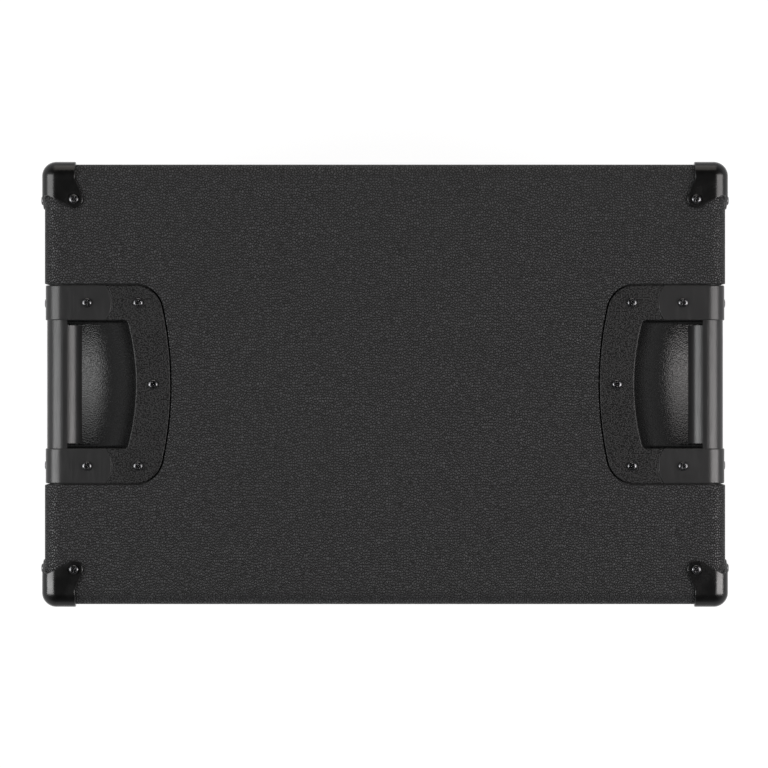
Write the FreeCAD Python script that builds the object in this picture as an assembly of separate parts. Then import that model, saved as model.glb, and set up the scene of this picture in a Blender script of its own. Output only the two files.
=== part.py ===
import FreeCAD, Part
import math
import os
from FreeCAD import Vector

# A closed-back guitar speaker cabinet with one twelve-inch driver, in millimetres.
# The origin is on the floor under the middle of the cabinet, +Z is up, the grille faces -Y
# and the rear panel +Y. Each piece is built where it sits in the finished cabinet.

# Carcass and covering
cab_width = 588.0
cab_depth = 380.0
cab_height = 500.0
edge_radius = 12.7
panel_thickness = 18.0
cover_thickness = 1.0
cover_turn_in = 12.0
cover_lip_radius = 0.7
finger_count = 21
cleat_size = 20.0
cut_overrun = 30.0
match_tolerance = 0.001

# Edge handles
handle_length = 171.0
handle_reach = 109.0
handle_bow = 12.0
handle_corner_radius = 24.0
handle_inset = 0.5
handle_edge_radius = 15.3
handle_gap = 1.2
flange_thickness = 4.0
flange_lip_radius = 1.0
mouth_length = 110.6
mouth_reach = 79.3
mouth_bow = 7.5
mouth_corner_radius = 4.0
cup_wall = 3.0
cup_clearance = 1.0
strap_reach = 58.3
strap_bow_share = 0.159
strap_gap = 0.3
strap_lip_radius = 0.5
grip_inset = 1.6
grip_radius = 15.05
grip_wall = 4.0
grip_reach = 20.0
core_end_gap = 4.5
plate_screw_setback = 27.8
strap_screw_setback = 21.1

# Corner protectors
corner_thickness = 2.2
corner_edge_radius = 12.5
corner_leg = 27.0
corner_side_leg = 27.6
corner_side_start = 4.0
corner_screw_along = 26.0
corner_screw_deep = 30.5
corner_lobe_radius = 7.8
corner_rim_cover = 17.0
corner_junction_radius = 4.0
corner_rim_radius = 0.9
corner_dimple_depth = 0.6
corner_dimple_margin = 1.2

# Wood screws
screw_head_radius = 4.15
screw_head_height = 2.6
screw_rim_share = 0.35
screw_shank_radius = 1.9
screw_bite = 12.0
screw_point = 3.0
screw_clearance = 0.1

# Grille
grille_recess = 8.0
grille_frame_thickness = 12.0
grille_rail_width = 30.0
grille_clearance = 1.0
cloth_thickness = 0.8
grille_edge_radius = 4.0
pad_length = 60.0
pad_width = 20.0
pad_thickness = 3.0

# Baffle and rear panel
baffle_thickness = 18.0
baffle_clearance = 0.5
back_recess = 5.0
back_thickness = 14.0
back_clearance = 1.0

# Driver: frame, gasket and motor
frame_radius = 154.5
cutout_radius = 141.5
bolt_circle_radius = 148.6
bolt_count = 8
gasket_thickness = 4.0
frame_thickness = 2.0
landing_inner_radius = 57.0
landing_outer_radius = 70.0
landing_depth = 60.0
motor_depth = 86.0
window_inner_radius = 73.0
window_outer_radius = 130.0
window_half_angle = 15.0
window_corner_radius = 6.0
top_plate_radius = 62.0
top_plate_thickness = 8.0
magnet_radius = 78.0
magnet_hole_radius = 32.0
magnet_thickness = 20.0
yoke_radius = 74.0
yoke_thickness = 8.0
pole_radius = 21.2
gap_radius = 24.6

# Driver: moving parts and their suspension
cone_radius = 131.0
cone_lip = 4.0
cone_thickness = 1.0
cone_neck_depth = 56.0
cone_mid_radius_share = 0.5
cone_mid_depth_share = 0.43
surround_rolls = 2
surround_outer_radius = 144.0
surround_roll_outer_radius = 140.0
suspension_thickness = 0.8
cap_radius = 44.0
cap_height = 14.0
cap_thickness = 0.8
former_radius = 22.3
former_thickness = 0.4
former_rear_depth = 102.0
winding_thickness = 0.8
winding_length = 12.0
spider_rolls = 6
spider_collar = 1.5
glue_gap = 0.05

# Driver: bolts, terminals and leads
bolt_radius = 2.4
bolt_head_radius = 4.6
bolt_head_height = 3.4
bolt_hole_clearance = 0.4
tee_flange_radius = 9.5
tee_flange_thickness = 1.5
tee_barrel_radius = 3.9
tee_barrel_length = 9.0
terminal_width = 34.0
terminal_height = 8.0
terminal_length = 16.0
lug_width = 6.3
lug_thickness = 0.8
lug_length = 12.0
lug_spread = 9.0
tinsel_radius = 1.0
lead_radius = 1.5

# Jack dish and socket
jack_height = 120.0
dish_width = 92.0
dish_height = 72.0
dish_flange = 2.5
dish_corner_radius = 8.0
dish_mouth_width = 64.0
dish_mouth_height = 44.0
dish_floor_width = 54.0
dish_floor_height = 34.0
dish_depth = 24.0
dish_wall = 2.5
jack_bore_radius = 3.25
jack_bush_radius = 4.7
jack_bush_length = 9.5
jack_nut_radius = 7.4
jack_nut_thickness = 2.4
jack_washer_radius = 7.0
jack_washer_thickness = 0.8
jack_body_width = 20.0
jack_body_height = 22.0
jack_body_length = 26.0

# Feet
foot_height = 14.0
foot_radius = 19.0
foot_taper = 3.0
foot_rim_radius = 2.0
foot_inset = 62.0
foot_well_radius = 9.0
foot_floor = 5.0

# Planes and spaces that several pieces share
right = cab_width / 2
front = -cab_depth / 2
back = cab_depth / 2
base = foot_height
top = foot_height + cab_height
middle = (base + top) / 2
side_build = cover_thickness + panel_thickness
inner_half_width = right - side_build
inner_base = base + side_build
inner_top = top - side_build
cloth_front = front + grille_recess
grille_front = cloth_front + cloth_thickness
grille_back = grille_front + grille_frame_thickness
baffle_front = grille_back + pad_thickness
baffle_back = baffle_front + baffle_thickness
back_outer = back - back_recess
back_ply_outer = back_outer - cover_thickness
back_inner = back_ply_outer - back_thickness
edge_point = Vector(right, 0, top)
X_AXIS = Vector(1, 0, 0)
Y_AXIS = Vector(0, 1, 0)
Z_AXIS = Vector(0, 0, 1)
SIDES = (-1, 1)
parts = {}


# Helpers for plain forms

def box(x0, x1, y0, y1, z0, z1):
    return Part.makeBox(x1 - x0, y1 - y0, z1 - z0, Vector(x0, y0, z0))


def polygon(points):
    return Part.Face(Part.makePolygon(list(points) + [points[0]]))


def arc(start, through, end):
    return Part.Arc(start, through, end).toShape()


def line(start, end):
    return Part.makeLine(start, end)


def tube(base_point, direction, radius, length):
    return Part.makeCylinder(radius, length, base_point, direction)


def edges_at(shape, points, tolerance):
    """The edges of shape whose middle lies within tolerance of one of points."""
    found = []
    for edge in shape.Edges:
        mid = edge.valueAt((edge.FirstParameter + edge.LastParameter) / 2)
        if any(mid.distanceToPoint(p) < tolerance for p in points):
            found.append(edge)
    return found


def cabinet_block(inset, radius=edge_radius):
    """The whole outside of the cabinet drawn in by inset, with every edge rounded."""
    block = box(-right + inset, right - inset, front + inset, back - inset, base + inset, top - inset)
    return block.makeFillet(radius - inset, block.Edges)


def skin(inset, thickness, radius=edge_radius):
    return cabinet_block(inset, radius).cut(cabinet_block(inset + thickness, radius))


def handle_block(inset):
    """The cabinet's outside as the handles follow it, with their own larger rounding."""
    return cabinet_block(inset, handle_edge_radius)


def inner_prism(y0, y1, shrink):
    """The space between the four panels from y0 to y1, drawn in by shrink."""
    return box(
        -inner_half_width + shrink, inner_half_width - shrink, y0, y1, inner_base + shrink, inner_top - shrink
    )


def across_edge(shape):
    """The same shape on the side face: top and side change places about the right top edge."""
    return shape.mirror(edge_point, Vector(1, 0, -1))


def to_left(shape):
    return shape.mirror(Vector(0, 0, 0), X_AXIS)


def to_back(shape):
    return shape.mirror(Vector(0, 0, 0), Y_AXIS)


def to_bottom(shape):
    return shape.mirror(Vector(0, 0, middle), Z_AXIS)


def placed(shape, point, direction):
    """A shape drawn along +Z, set at point with its +Z along direction."""
    shape.Placement = FreeCAD.Placement(point, FreeCAD.Rotation(Z_AXIS, direction))
    return shape


# Wood screws: a domed head, a plain shank and a pointed end

def wood_screw(point, out, grip):
    """A screw whose head sits at point and whose shank passes grip before it bites the wood."""
    length = grip + screw_bite
    rim_height = screw_head_height * screw_rim_share
    crown_rise = screw_head_height - rim_height
    crown_radius = (screw_head_radius ** 2 + crown_rise ** 2) / (2 * crown_rise)
    lean = math.asin(screw_head_radius / crown_radius) / 2
    crown_through = Vector(
        crown_radius * math.sin(lean), 0, screw_head_height - crown_radius * (1 - math.cos(lean))
    )
    head_shoulder = Vector(screw_head_radius, 0, rim_height)
    outline = [
        line(Vector(0, 0, -length), Vector(screw_shank_radius, 0, screw_point - length)),
        line(Vector(screw_shank_radius, 0, screw_point - length), Vector(screw_shank_radius, 0, 0)),
        line(Vector(screw_shank_radius, 0, 0), Vector(screw_head_radius, 0, 0)),
        line(Vector(screw_head_radius, 0, 0), head_shoulder),
        arc(head_shoulder, crown_through, Vector(0, 0, screw_head_height)),
        line(Vector(0, 0, screw_head_height), Vector(0, 0, -length)),
    ]
    return placed(Part.Face(Part.Wire(outline)).revolve(Vector(0, 0, 0), Z_AXIS, 360), point, out)


def pilot(point, out, grip):
    """The hole that a screw needs, a little wider than its shank and open above."""
    start = point + out * screw_head_height
    depth = screw_head_height + grip + screw_bite + screw_clearance
    return tube(start, out * -1, screw_shank_radius + screw_clearance, depth)


def counterbore(point, out):
    """The room over a screw whose head is sunk below the surface."""
    return tube(point, out, screw_head_radius + screw_clearance, cut_overrun)


# Edge handle: outlines drawn on the top face at the right edge, then carried to the side face

def bowed_prism(length, reach, bow, corner_radius, outer_x, z0, z1):
    """A plate outline with straight ends and a bowed inner side, extruded from z0 to z1."""
    corner_x = right - reach + bow
    corners = [Vector(corner_x, side * length / 2, z0) for side in SIDES]
    outer = [Vector(outer_x, side * length / 2, z0) for side in SIDES]
    outline = [
        line(outer[0], corners[0]),
        arc(corners[0], Vector(right - reach, 0, z0), corners[1]),
        line(corners[1], outer[1]),
        line(outer[1], outer[0]),
    ]
    prism = Part.Face(Part.Wire(outline)).extrude(Vector(0, 0, z1 - z0))
    middles = [p + Vector(0, 0, (z1 - z0) / 2) for p in corners]
    return prism.makeFillet(corner_radius, edges_at(prism, middles, corner_radius / 2))


def both_faces(prism):
    return prism.fuse(across_edge(prism))


def flange_zone(grow):
    prism = bowed_prism(
        handle_length + 2 * grow,
        handle_reach + grow,
        handle_bow,
        handle_corner_radius + grow,
        right + cut_overrun,
        top - edge_radius,
        top + cut_overrun,
    )
    return both_faces(prism)


def mouth_sweep(grow):
    """The bowed mouth turned a quarter round the cabinet's edge: the room for the fingers."""
    prism = bowed_prism(
        mouth_length + 2 * grow,
        mouth_reach + grow,
        mouth_bow,
        mouth_corner_radius + grow,
        right,
        top,
        top + cut_overrun,
    )
    lowest = min(prism.Faces, key=lambda f: f.CenterOfMass.z)
    return lowest.revolve(edge_point, Y_AXIS * -1, 90)


def strap_zone(gap):
    """Where the two end straps of the bar lie, each with a rounded tongue on both faces."""
    inner_y = mouth_length / 2
    outer_y = handle_length / 2
    bow = strap_bow_share * (outer_y - inner_y)
    tip_x = right - strap_reach - gap
    z0 = top - edge_radius
    prisms = []
    for side in SIDES:
        near = Vector(tip_x + bow, side * inner_y, z0)
        far = Vector(tip_x + bow, side * outer_y, z0)
        tip = Vector(tip_x, side * (inner_y + outer_y) / 2, z0)
        outer_far = Vector(right + cut_overrun, side * outer_y, z0)
        outer_near = Vector(right + cut_overrun, side * inner_y, z0)
        outline = [
            arc(near, tip, far),
            line(far, outer_far),
            line(outer_far, outer_near),
            line(outer_near, near),
        ]
        face = Part.Face(Part.Wire(outline))
        prisms.append(face.extrude(Vector(0, 0, edge_radius + cut_overrun)))
    return both_faces(prisms[0]).fuse(both_faces(prisms[1]))


def lip_edges(solid, block):
    """The edges where a handle's outline cuts the outer face of solid, a face of block."""
    outside = block.Shells[0]
    lips = []
    for edge in solid.Edges:
        mid = edge.valueAt((edge.FirstParameter + edge.LastParameter) / 2)
        along_cabinet_edge = max(edge.BoundBox.XLength, edge.BoundBox.ZLength) < match_tolerance
        at_handle = abs(mid.y) < handle_length / 2 + handle_gap + match_tolerance
        if along_cabinet_edge or not at_handle:
            continue
        if outside.distToShape(Part.Vertex(mid))[0] < match_tolerance:
            lips.append(edge)
    return lips


def tongue_tips(gap):
    """The foremost point of each strap's tongue, on both faces."""
    tips = []
    for side in SIDES:
        y = side * (mouth_length + handle_length) / 4
        tips.append(Vector(right - strap_reach - gap, y, top - handle_inset))
        tips.append(Vector(right - handle_inset, y, top - strap_reach - gap))
    return tips


strap_screw_u = strap_reach - strap_screw_setback
plate_screw_u = handle_reach - plate_screw_setback
crown_screw_u = (handle_reach + mouth_reach) / 2
end_screw_y = (handle_length + mouth_length) / 4
handle_screw_places = [(crown_screw_u, 0)]
for side in SIDES:
    handle_screw_places.append((strap_screw_u, side * end_screw_y))
    handle_screw_places.append((plate_screw_u, side * end_screw_y))


def handle_screw_points():
    return [Vector(right - u, y, top - handle_inset) for u, y in handle_screw_places]


def handle_solids():
    """Dish, bar and core of the right-hand handle."""
    holes = [pilot(p, Z_AXIS, flange_thickness) for p in handle_screw_points()]
    holes += [across_edge(h) for h in holes]
    outside = handle_block(handle_inset)
    sheet = skin(handle_inset, flange_thickness, handle_edge_radius)
    sheet = sheet.common(flange_zone(0)).cut(mouth_sweep(0))
    strap_room = strap_zone(strap_gap).cut(handle_block(handle_inset + flange_thickness))
    plates = sheet.cut(strap_room)
    notches = edges_at(plates, tongue_tips(strap_gap), flange_lip_radius)
    lips = [e for e in lip_edges(plates, outside) if not any(e.isSame(n) for n in notches)]
    plates = plates.makeFillet(flange_lip_radius, lips)
    notches = edges_at(plates, tongue_tips(strap_gap), flange_lip_radius)
    plates = plates.makeFillet(strap_lip_radius, notches)
    cup = mouth_sweep(cup_wall).common(handle_block(handle_inset + flange_thickness / 2))
    dish = plates.fuse(cup.cut([mouth_sweep(0), strap_room])).cut(holes)
    straps = sheet.makeFillet(flange_lip_radius, lip_edges(sheet, outside)).common(strap_zone(0))
    straps = straps.makeFillet(strap_lip_radius, edges_at(straps, tongue_tips(0), flange_lip_radius))
    half_mouth = mouth_length / 2
    grip_centre = grip_inset + grip_radius
    grip_start = Vector(right - grip_centre, -half_mouth, top - grip_centre)
    round_bar = tube(grip_start, Y_AXIS, grip_radius, mouth_length)
    hollow = tube(grip_start, Y_AXIS, grip_radius - grip_wall, mouth_length)
    grip_cell = box(right - grip_reach, right, -half_mouth, half_mouth, top - grip_reach, top)
    grip = round_bar.cut(hollow).common(grip_cell)
    bar = straps.cut(holes).fuse(grip)
    core_half = half_mouth - core_end_gap
    core_start = Vector(right - grip_centre, -core_half, top - grip_centre)
    core = tube(core_start, Y_AXIS, grip_radius, 2 * core_half).cut(grip)
    return dish, bar, core


def make_handles():
    dish, bar, core = handle_solids()
    for name, solid in (("dish", dish), ("bar", bar), ("grip_core", core)):
        parts["right_handle_" + name] = solid
        parts["left_handle_" + name] = to_left(solid)
    screws = [wood_screw(p, Z_AXIS, flange_thickness) for p in handle_screw_points()]
    screws += [across_edge(s) for s in screws]
    screws += [to_left(s) for s in screws]
    parts["handle_screws"] = Part.makeCompound(screws)


def handle_cuts():
    """What both handles take out of the panels and the covering: their rooms and their pilots."""
    pocket = flange_zone(handle_gap).cut(handle_block(handle_inset + flange_thickness))
    cup_hole = mouth_sweep(cup_wall + cup_clearance)
    pilots = [pilot(p, Z_AXIS, flange_thickness) for p in handle_screw_points()]
    rooms = [pocket, cup_hole]
    holes = pilots + [across_edge(p) for p in pilots]
    return rooms + [to_left(r) for r in rooms], holes + [to_left(h) for h in holes]


# Corner protectors: one shell over three faces, with a screwed lobe on two of them

def tangent_point(point, centre, radius, turn):
    """Where a line from point touches a circle, on the side that turn (1 or -1) picks."""
    away = point - centre
    angle = math.atan2(away.y, away.x) + turn * math.acos(radius / away.Length)
    return centre + Vector(radius * math.cos(angle), radius * math.sin(angle), 0)


def corner_top_prism():
    """The outline on the top face at the right front corner: two legs and a round lobe."""
    z0 = top - edge_radius

    def at(along, deep):
        return Vector(right - along, front + deep, z0)

    lobe = at(corner_screw_along, corner_screw_deep)
    front_leg = at(corner_leg, edge_radius)
    side_leg = at(corner_side_start, corner_side_leg)
    front_touch = tangent_point(front_leg, lobe, corner_lobe_radius, -1)
    side_touch = tangent_point(side_leg, lobe, corner_lobe_radius, 1)
    outward = Vector(right, front, z0) - lobe
    lobe_tip = lobe - outward * (corner_lobe_radius / outward.Length)
    outline = [
        line(at(-cut_overrun, -cut_overrun), at(corner_leg, -cut_overrun)),
        line(at(corner_leg, -cut_overrun), front_leg),
        line(front_leg, front_touch),
        arc(front_touch, lobe_tip, side_touch),
        line(side_touch, side_leg),
        line(side_leg, at(-cut_overrun, corner_side_leg)),
        line(at(-cut_overrun, corner_side_leg), at(-cut_overrun, -cut_overrun)),
    ]
    height = edge_radius + cut_overrun
    prism = Part.Face(Part.Wire(outline)).extrude(Z_AXIS * height)
    legs = [point + Z_AXIS * (height / 2) for point in (front_leg, side_leg)]
    return prism.makeFillet(corner_junction_radius, edges_at(prism, legs, match_tolerance))


def corner_front_prism():
    """On the front the shell covers only the rims of the two panels, as an angle."""
    angle = [(corner_leg, corner_rim_cover), (corner_rim_cover, corner_rim_cover)]
    angle.append((corner_rim_cover, corner_leg))
    reach = [(-cut_overrun, -cut_overrun), (corner_leg, -cut_overrun)] + angle
    reach.append((-cut_overrun, corner_leg))
    depth = cut_overrun + edge_radius

    def at(along, down):
        return Vector(right - along, front - cut_overrun, top - down)

    prism = polygon([at(*place) for place in reach]).extrude(Y_AXIS * depth)
    turns = [at(*place) + Y_AXIS * (depth / 2) for place in angle]
    return prism.makeFillet(corner_junction_radius, edges_at(prism, turns, match_tolerance))


def rim_edges(shell, outside):
    """The sharp edges round the outer face of a shell, which lies on outside."""
    rim = []
    for edge in shell.Edges:
        mid = edge.valueAt((edge.FirstParameter + edge.LastParameter) / 2)
        if outside.distToShape(Part.Vertex(mid))[0] > match_tolerance:
            continue
        owners = [face for face in shell.Faces if any(e.isSame(edge) for e in face.Edges)]
        normals = [face.normalAt(*face.Surface.parameter(mid)) for face in owners]
        if len(normals) == 2 and abs(normals[0].dot(normals[1])) < sharp_edge_share:
            rim.append(edge)
    return rim


sharp_edge_share = 0.9


corner_screw_seat = Vector(
    right - corner_screw_along, front + corner_screw_deep, top + corner_thickness - corner_dimple_depth
)
corner_grip = corner_thickness - corner_dimple_depth + cover_thickness


def corner_copies(solid):
    """The eight corners of the cabinet, by name, from the one at the right front top."""
    copies = {}
    for height, vertical in (("top", lambda s: s), ("bottom", to_bottom)):
        for depth, lengthwise in (("front", lambda s: s), ("back", to_back)):
            for hand, sideways in (("right", lambda s: s), ("left", to_left)):
                copies[f"{depth}_{height}_{hand}"] = sideways(lengthwise(vertical(solid)))
    return copies


def corner_pilots():
    hole = pilot(corner_screw_seat, Z_AXIS, corner_grip)
    holes = []
    for one in (hole, across_edge(hole)):
        holes += list(corner_copies(one).values())
    return holes


def make_corners():
    prism = corner_top_prism()
    zone = prism.fuse([across_edge(prism), corner_front_prism()]).removeSplitter()
    outer = cabinet_block(-corner_thickness, corner_edge_radius - corner_thickness)
    shell = outer.cut(cabinet_block(0)).common(zone).removeSplitter()
    outside = outer.Shells[0]
    shell = shell.makeFillet(corner_rim_radius, rim_edges(shell, outside))
    dimple = tube(
        corner_screw_seat, Z_AXIS, screw_head_radius + corner_dimple_margin, corner_thickness + cut_overrun
    )
    hole = pilot(corner_screw_seat, Z_AXIS, corner_grip)
    shell = shell.cut([dimple, across_edge(dimple), hole, across_edge(hole)])
    for place, solid in corner_copies(shell).items():
        parts["corner_" + place] = solid
    screw = wood_screw(corner_screw_seat, Z_AXIS, corner_grip)
    screws = []
    for one in (screw, across_edge(screw)):
        screws += list(corner_copies(one).values())
    parts["corner_screws"] = Part.makeCompound(screws)


# Feet: tapered rubber pads with a sunk screw

def foot_points():
    half_x = right - foot_inset
    half_y = back - foot_inset
    return [Vector(side * half_x, end * half_y, base) for end in SIDES for side in SIDES]


def make_feet():
    low_radius = foot_radius - foot_taper
    profile = polygon([
        Vector(foot_well_radius, 0, 0),
        Vector(low_radius, 0, 0),
        Vector(foot_radius, 0, foot_height),
        Vector(0, 0, foot_height),
        Vector(0, 0, foot_height - foot_floor),
        Vector(foot_well_radius, 0, foot_height - foot_floor),
    ])
    pad = profile.revolve(Vector(0, 0, 0), Z_AXIS, 360)
    well_round = 2 * math.pi * foot_well_radius
    rounds = [e for e in pad.Edges if e.BoundBox.ZLength < foot_floor and e.Length > well_round]
    lowest = min(edge.BoundBox.ZMax for edge in rounds)
    pad = pad.makeFillet(foot_rim_radius, [edge for edge in rounds if edge.BoundBox.ZMax <= lowest])
    names = ("front_left", "front_right", "back_left", "back_right")
    screws = []
    for name, point in zip(names, foot_points()):
        foot = pad.copy()
        foot.translate(Vector(point.x, point.y, 0))
        seat = point - Vector(0, 0, foot_floor)
        parts["foot_" + name] = foot.cut(pilot(seat, Z_AXIS * -1, foot_floor + cover_thickness))
        screws.append(wood_screw(seat, Z_AXIS * -1, foot_floor + cover_thickness))
    parts["foot_screws"] = Part.makeCompound(screws)


def foot_pilots():
    seats = [p - Vector(0, 0, foot_floor) for p in foot_points()]
    return [pilot(s, Z_AXIS * -1, foot_floor + cover_thickness) for s in seats]


# Carcass: four finger-jointed panels and the covering that is glued over them

def finger_boxes(parity, x0, x1, z0, z1):
    pitch = cab_depth / finger_count
    starts = [front + i * pitch for i in range(finger_count) if i % 2 == parity]
    return [box(x0, x1, y, y + pitch, z0, z1) for y in starts]


def corner_columns():
    """The four square columns where two panels cross, as x and z ranges."""
    columns = []
    for x0, x1 in ((-right, -inner_half_width), (inner_half_width, right)):
        for z0, z1 in ((base, inner_base), (inner_top, top)):
            columns.append((x0, x1, z0, z1))
    return columns


def make_carcass():
    ply = cabinet_block(cover_thickness)
    through = inner_prism(front - cut_overrun, back + cut_overrun, 0)
    ring = ply.cut(through)
    rooms, handle_pilots = handle_cuts()
    fixings = handle_pilots + corner_pilots() + foot_pilots()
    between = inner_prism(front + cover_turn_in, back - cover_turn_in, 0)
    lined = inner_prism(front - cut_overrun, back + cut_overrun, cover_thickness)
    cover = cabinet_block(0).cut(lined).cut(ring).cut(between)
    cover = cover.cut(rooms)
    cover = cover.makeFillet(cover_lip_radius, lip_edges(cover, cabinet_block(0)))
    parts["covering"] = cover.cut(fixings)
    flat_fingers = []
    upright_fingers = []
    for column in corner_columns():
        flat_fingers += finger_boxes(1, *column)
        upright_fingers += finger_boxes(0, *column)
    slabs = {
        "top_panel": (-right, right, inner_top, top, flat_fingers),
        "bottom_panel": (-right, right, base, inner_base, flat_fingers),
        "left_panel": (-right, -inner_half_width, base, top, upright_fingers),
        "right_panel": (inner_half_width, right, base, top, upright_fingers),
    }
    for name, (x0, x1, z0, z1, other_fingers) in slabs.items():
        slab = ring.common(box(x0, x1, front, back, z0, z1))
        parts[name] = slab.cut(other_fingers + rooms + fixings)


def cleat_frame(y0, y1):
    """Four battens round the inside: two full-width rails and two uprights between them."""
    rails = []
    for z0 in (inner_base, inner_top - cleat_size):
        rails.append(box(-inner_half_width, inner_half_width, y0, y1, z0, z0 + cleat_size))
    for x0 in (-inner_half_width, inner_half_width - cleat_size):
        rails.append(box(x0, x0 + cleat_size, y0, y1, inner_base + cleat_size, inner_top - cleat_size))
    return rails


def rail_screw_points(y):
    """Screw places along the middle of the battens: three on each rail, two on each upright."""
    half_x = inner_half_width - cleat_size / 2
    half_z = (inner_top - inner_base - cleat_size) / 2
    places = [(share * half_x, end * half_z) for end in SIDES for share in rail_screw_shares]
    places += [(side * half_x, share * half_z) for side in SIDES for share in upright_screw_shares]
    return [Vector(x, y, middle + z) for x, z in places]


rail_screw_shares = (-0.72, 0.0, 0.72)
upright_screw_shares = (-0.45, 0.45)


def make_baffle_and_back():
    baffle = inner_prism(baffle_front, baffle_back, baffle_clearance)
    baffle = baffle.cut(tube(driver_point(-baffle_thickness - cut_overrun), Y_AXIS, cutout_radius,
                             baffle_thickness + 2 * cut_overrun))
    forward = Y_AXIS * -1
    sunk_grip = baffle_thickness - screw_head_height
    front_points = rail_screw_points(baffle_front + screw_head_height)
    front_pilots = [pilot(p, forward, sunk_grip) for p in front_points]
    head_rooms = [counterbore(p, forward) for p in front_points]
    parts["baffle_board"] = baffle.cut(front_pilots + head_rooms + tee_nut_holes())
    front_rails = Part.makeCompound(cleat_frame(baffle_back, baffle_back + cleat_size))
    parts["front_battens"] = front_rails.cut(front_pilots)
    parts["baffle_screws"] = Part.makeCompound([wood_screw(p, forward, sunk_grip) for p in front_points])

    shrink = cover_thickness + back_clearance
    grip = cover_thickness + back_thickness
    rear_points = rail_screw_points(back_outer)
    rear_cuts = [pilot(p, Y_AXIS, grip) for p in rear_points]
    panel_cuts = rear_cuts + dish_panel_cuts()
    parts["back_panel"] = inner_prism(back_inner, back_ply_outer, shrink).cut(panel_cuts)
    parts["back_covering"] = inner_prism(back_ply_outer, back_outer, shrink).cut(panel_cuts)
    rear_rails = Part.makeCompound(cleat_frame(back_inner - cleat_size, back_inner))
    parts["rear_battens"] = rear_rails.cut(rear_cuts)
    parts["back_panel_screws"] = Part.makeCompound([wood_screw(p, Y_AXIS, grip) for p in rear_points])


# Grille: a rail frame with cloth drawn over its face and sides, held by hook-and-loop pads

def soft_front(block, radius):
    """A block with the four edges of its front face rounded."""
    face = min(block.Faces, key=lambda f: f.CenterOfMass.y)
    return block.makeFillet(radius, face.Edges)


def make_grille():
    shrink = cover_thickness + grille_clearance
    cloth_block = soft_front(inner_prism(cloth_front, grille_back, shrink), grille_edge_radius)
    frame_block = soft_front(
        inner_prism(grille_front, grille_back, shrink + cloth_thickness), grille_edge_radius - cloth_thickness
    )
    opening = inner_prism(
        grille_front - cut_overrun, grille_back + cut_overrun, shrink + cloth_thickness + grille_rail_width
    )
    parts["grille_frame"] = frame_block.cut(opening)
    parts["grille_cloth"] = cloth_block.cut(frame_block)
    rail_middle = shrink + cloth_thickness + grille_rail_width / 2
    half_x = inner_half_width - rail_middle - pad_length
    pads = []
    for z in (inner_base + rail_middle, inner_top - rail_middle):
        for side in SIDES:
            x = side * half_x
            pads.append(box(x - pad_length / 2, x + pad_length / 2, grille_back, baffle_front,
                            z - pad_width / 2, z + pad_width / 2))
    parts["grille_pads"] = Part.makeCompound(pads)


# Driver: everything turns about an axis along Y through the middle of the baffle.
# Depths are measured from the back of the baffle towards the rear panel.

def driver_point(depth, radius=0):
    return Vector(radius, baffle_back + depth, middle)


def spin(face):
    return face.revolve(driver_point(0), Y_AXIS, 360)


def ring(inner, outer, depth0, depth1):
    corners = [(inner, depth0), (outer, depth0), (outer, depth1), (inner, depth1)]
    return spin(polygon([driver_point(d, r) for r, d in corners]))


def round_driver(shape, angle):
    turned = shape.copy()
    turned.rotate(driver_point(0), Y_AXIS, angle)
    return turned


def bolt_angles():
    return [360 * (i + 1 / 2) / bolt_count for i in range(bolt_count)]


surround_front = gasket_thickness
frame_front = surround_front + suspension_thickness
frame_back = frame_front + frame_thickness
surround_middle = surround_front + suspension_thickness / 2
spider_middle = landing_depth - suspension_thickness / 2
former_outer = former_radius + former_thickness


def tee_nut_holes():
    """Through holes for the tee nuts, with a sunk seat for each flange on the baffle's front."""
    holes = []
    seat = Vector(bolt_circle_radius, baffle_front - cut_overrun, middle)
    seat_depth = cut_overrun + tee_flange_thickness
    for angle in bolt_angles():
        sunk = tube(seat, Y_AXIS, tee_flange_radius + screw_clearance, seat_depth)
        barrel = tube(seat, Y_AXIS, tee_barrel_radius + screw_clearance, 2 * cut_overrun + baffle_thickness)
        holes += [round_driver(sunk, angle), round_driver(barrel, angle)]
    return holes


def make_tee_nuts_and_bolts():
    seat = Vector(bolt_circle_radius, baffle_front, middle)
    nut = tube(seat, Y_AXIS, tee_flange_radius, tee_flange_thickness)
    nut = nut.fuse(tube(seat, Y_AXIS, tee_barrel_radius, tee_barrel_length))
    nut = nut.cut(tube(seat - Y_AXIS * cut_overrun, Y_AXIS, bolt_radius + screw_clearance / 2,
                       tee_barrel_length + 2 * cut_overrun))
    head_seat = driver_point(frame_back, bolt_circle_radius)
    shank_length = frame_back + baffle_thickness - tee_flange_thickness
    bolt = tube(head_seat, Y_AXIS * -1, bolt_radius, shank_length)
    bolt = bolt.fuse(tube(head_seat, Y_AXIS, bolt_head_radius, bolt_head_height))
    parts["tee_nuts"] = Part.makeCompound([round_driver(nut, a) for a in bolt_angles()])
    parts["driver_bolts"] = Part.makeCompound([round_driver(bolt, a) for a in bolt_angles()])


def bolt_holes():
    start = driver_point(-cut_overrun, bolt_circle_radius)
    hole = tube(start, Y_AXIS, bolt_radius + bolt_hole_clearance, 2 * cut_overrun)
    return [round_driver(hole, angle) for angle in bolt_angles()]


def make_gasket():
    step = surround_outer_radius + screw_clearance
    inner = surround_roll_outer_radius + cone_lip / 4
    profile = [(inner, 0), (frame_radius, 0), (frame_radius, frame_front)]
    profile += [(step, frame_front), (step, surround_front), (inner, surround_front)]
    parts["driver_gasket"] = spin(polygon([driver_point(d, r) for r, d in profile])).cut(bolt_holes())


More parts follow.
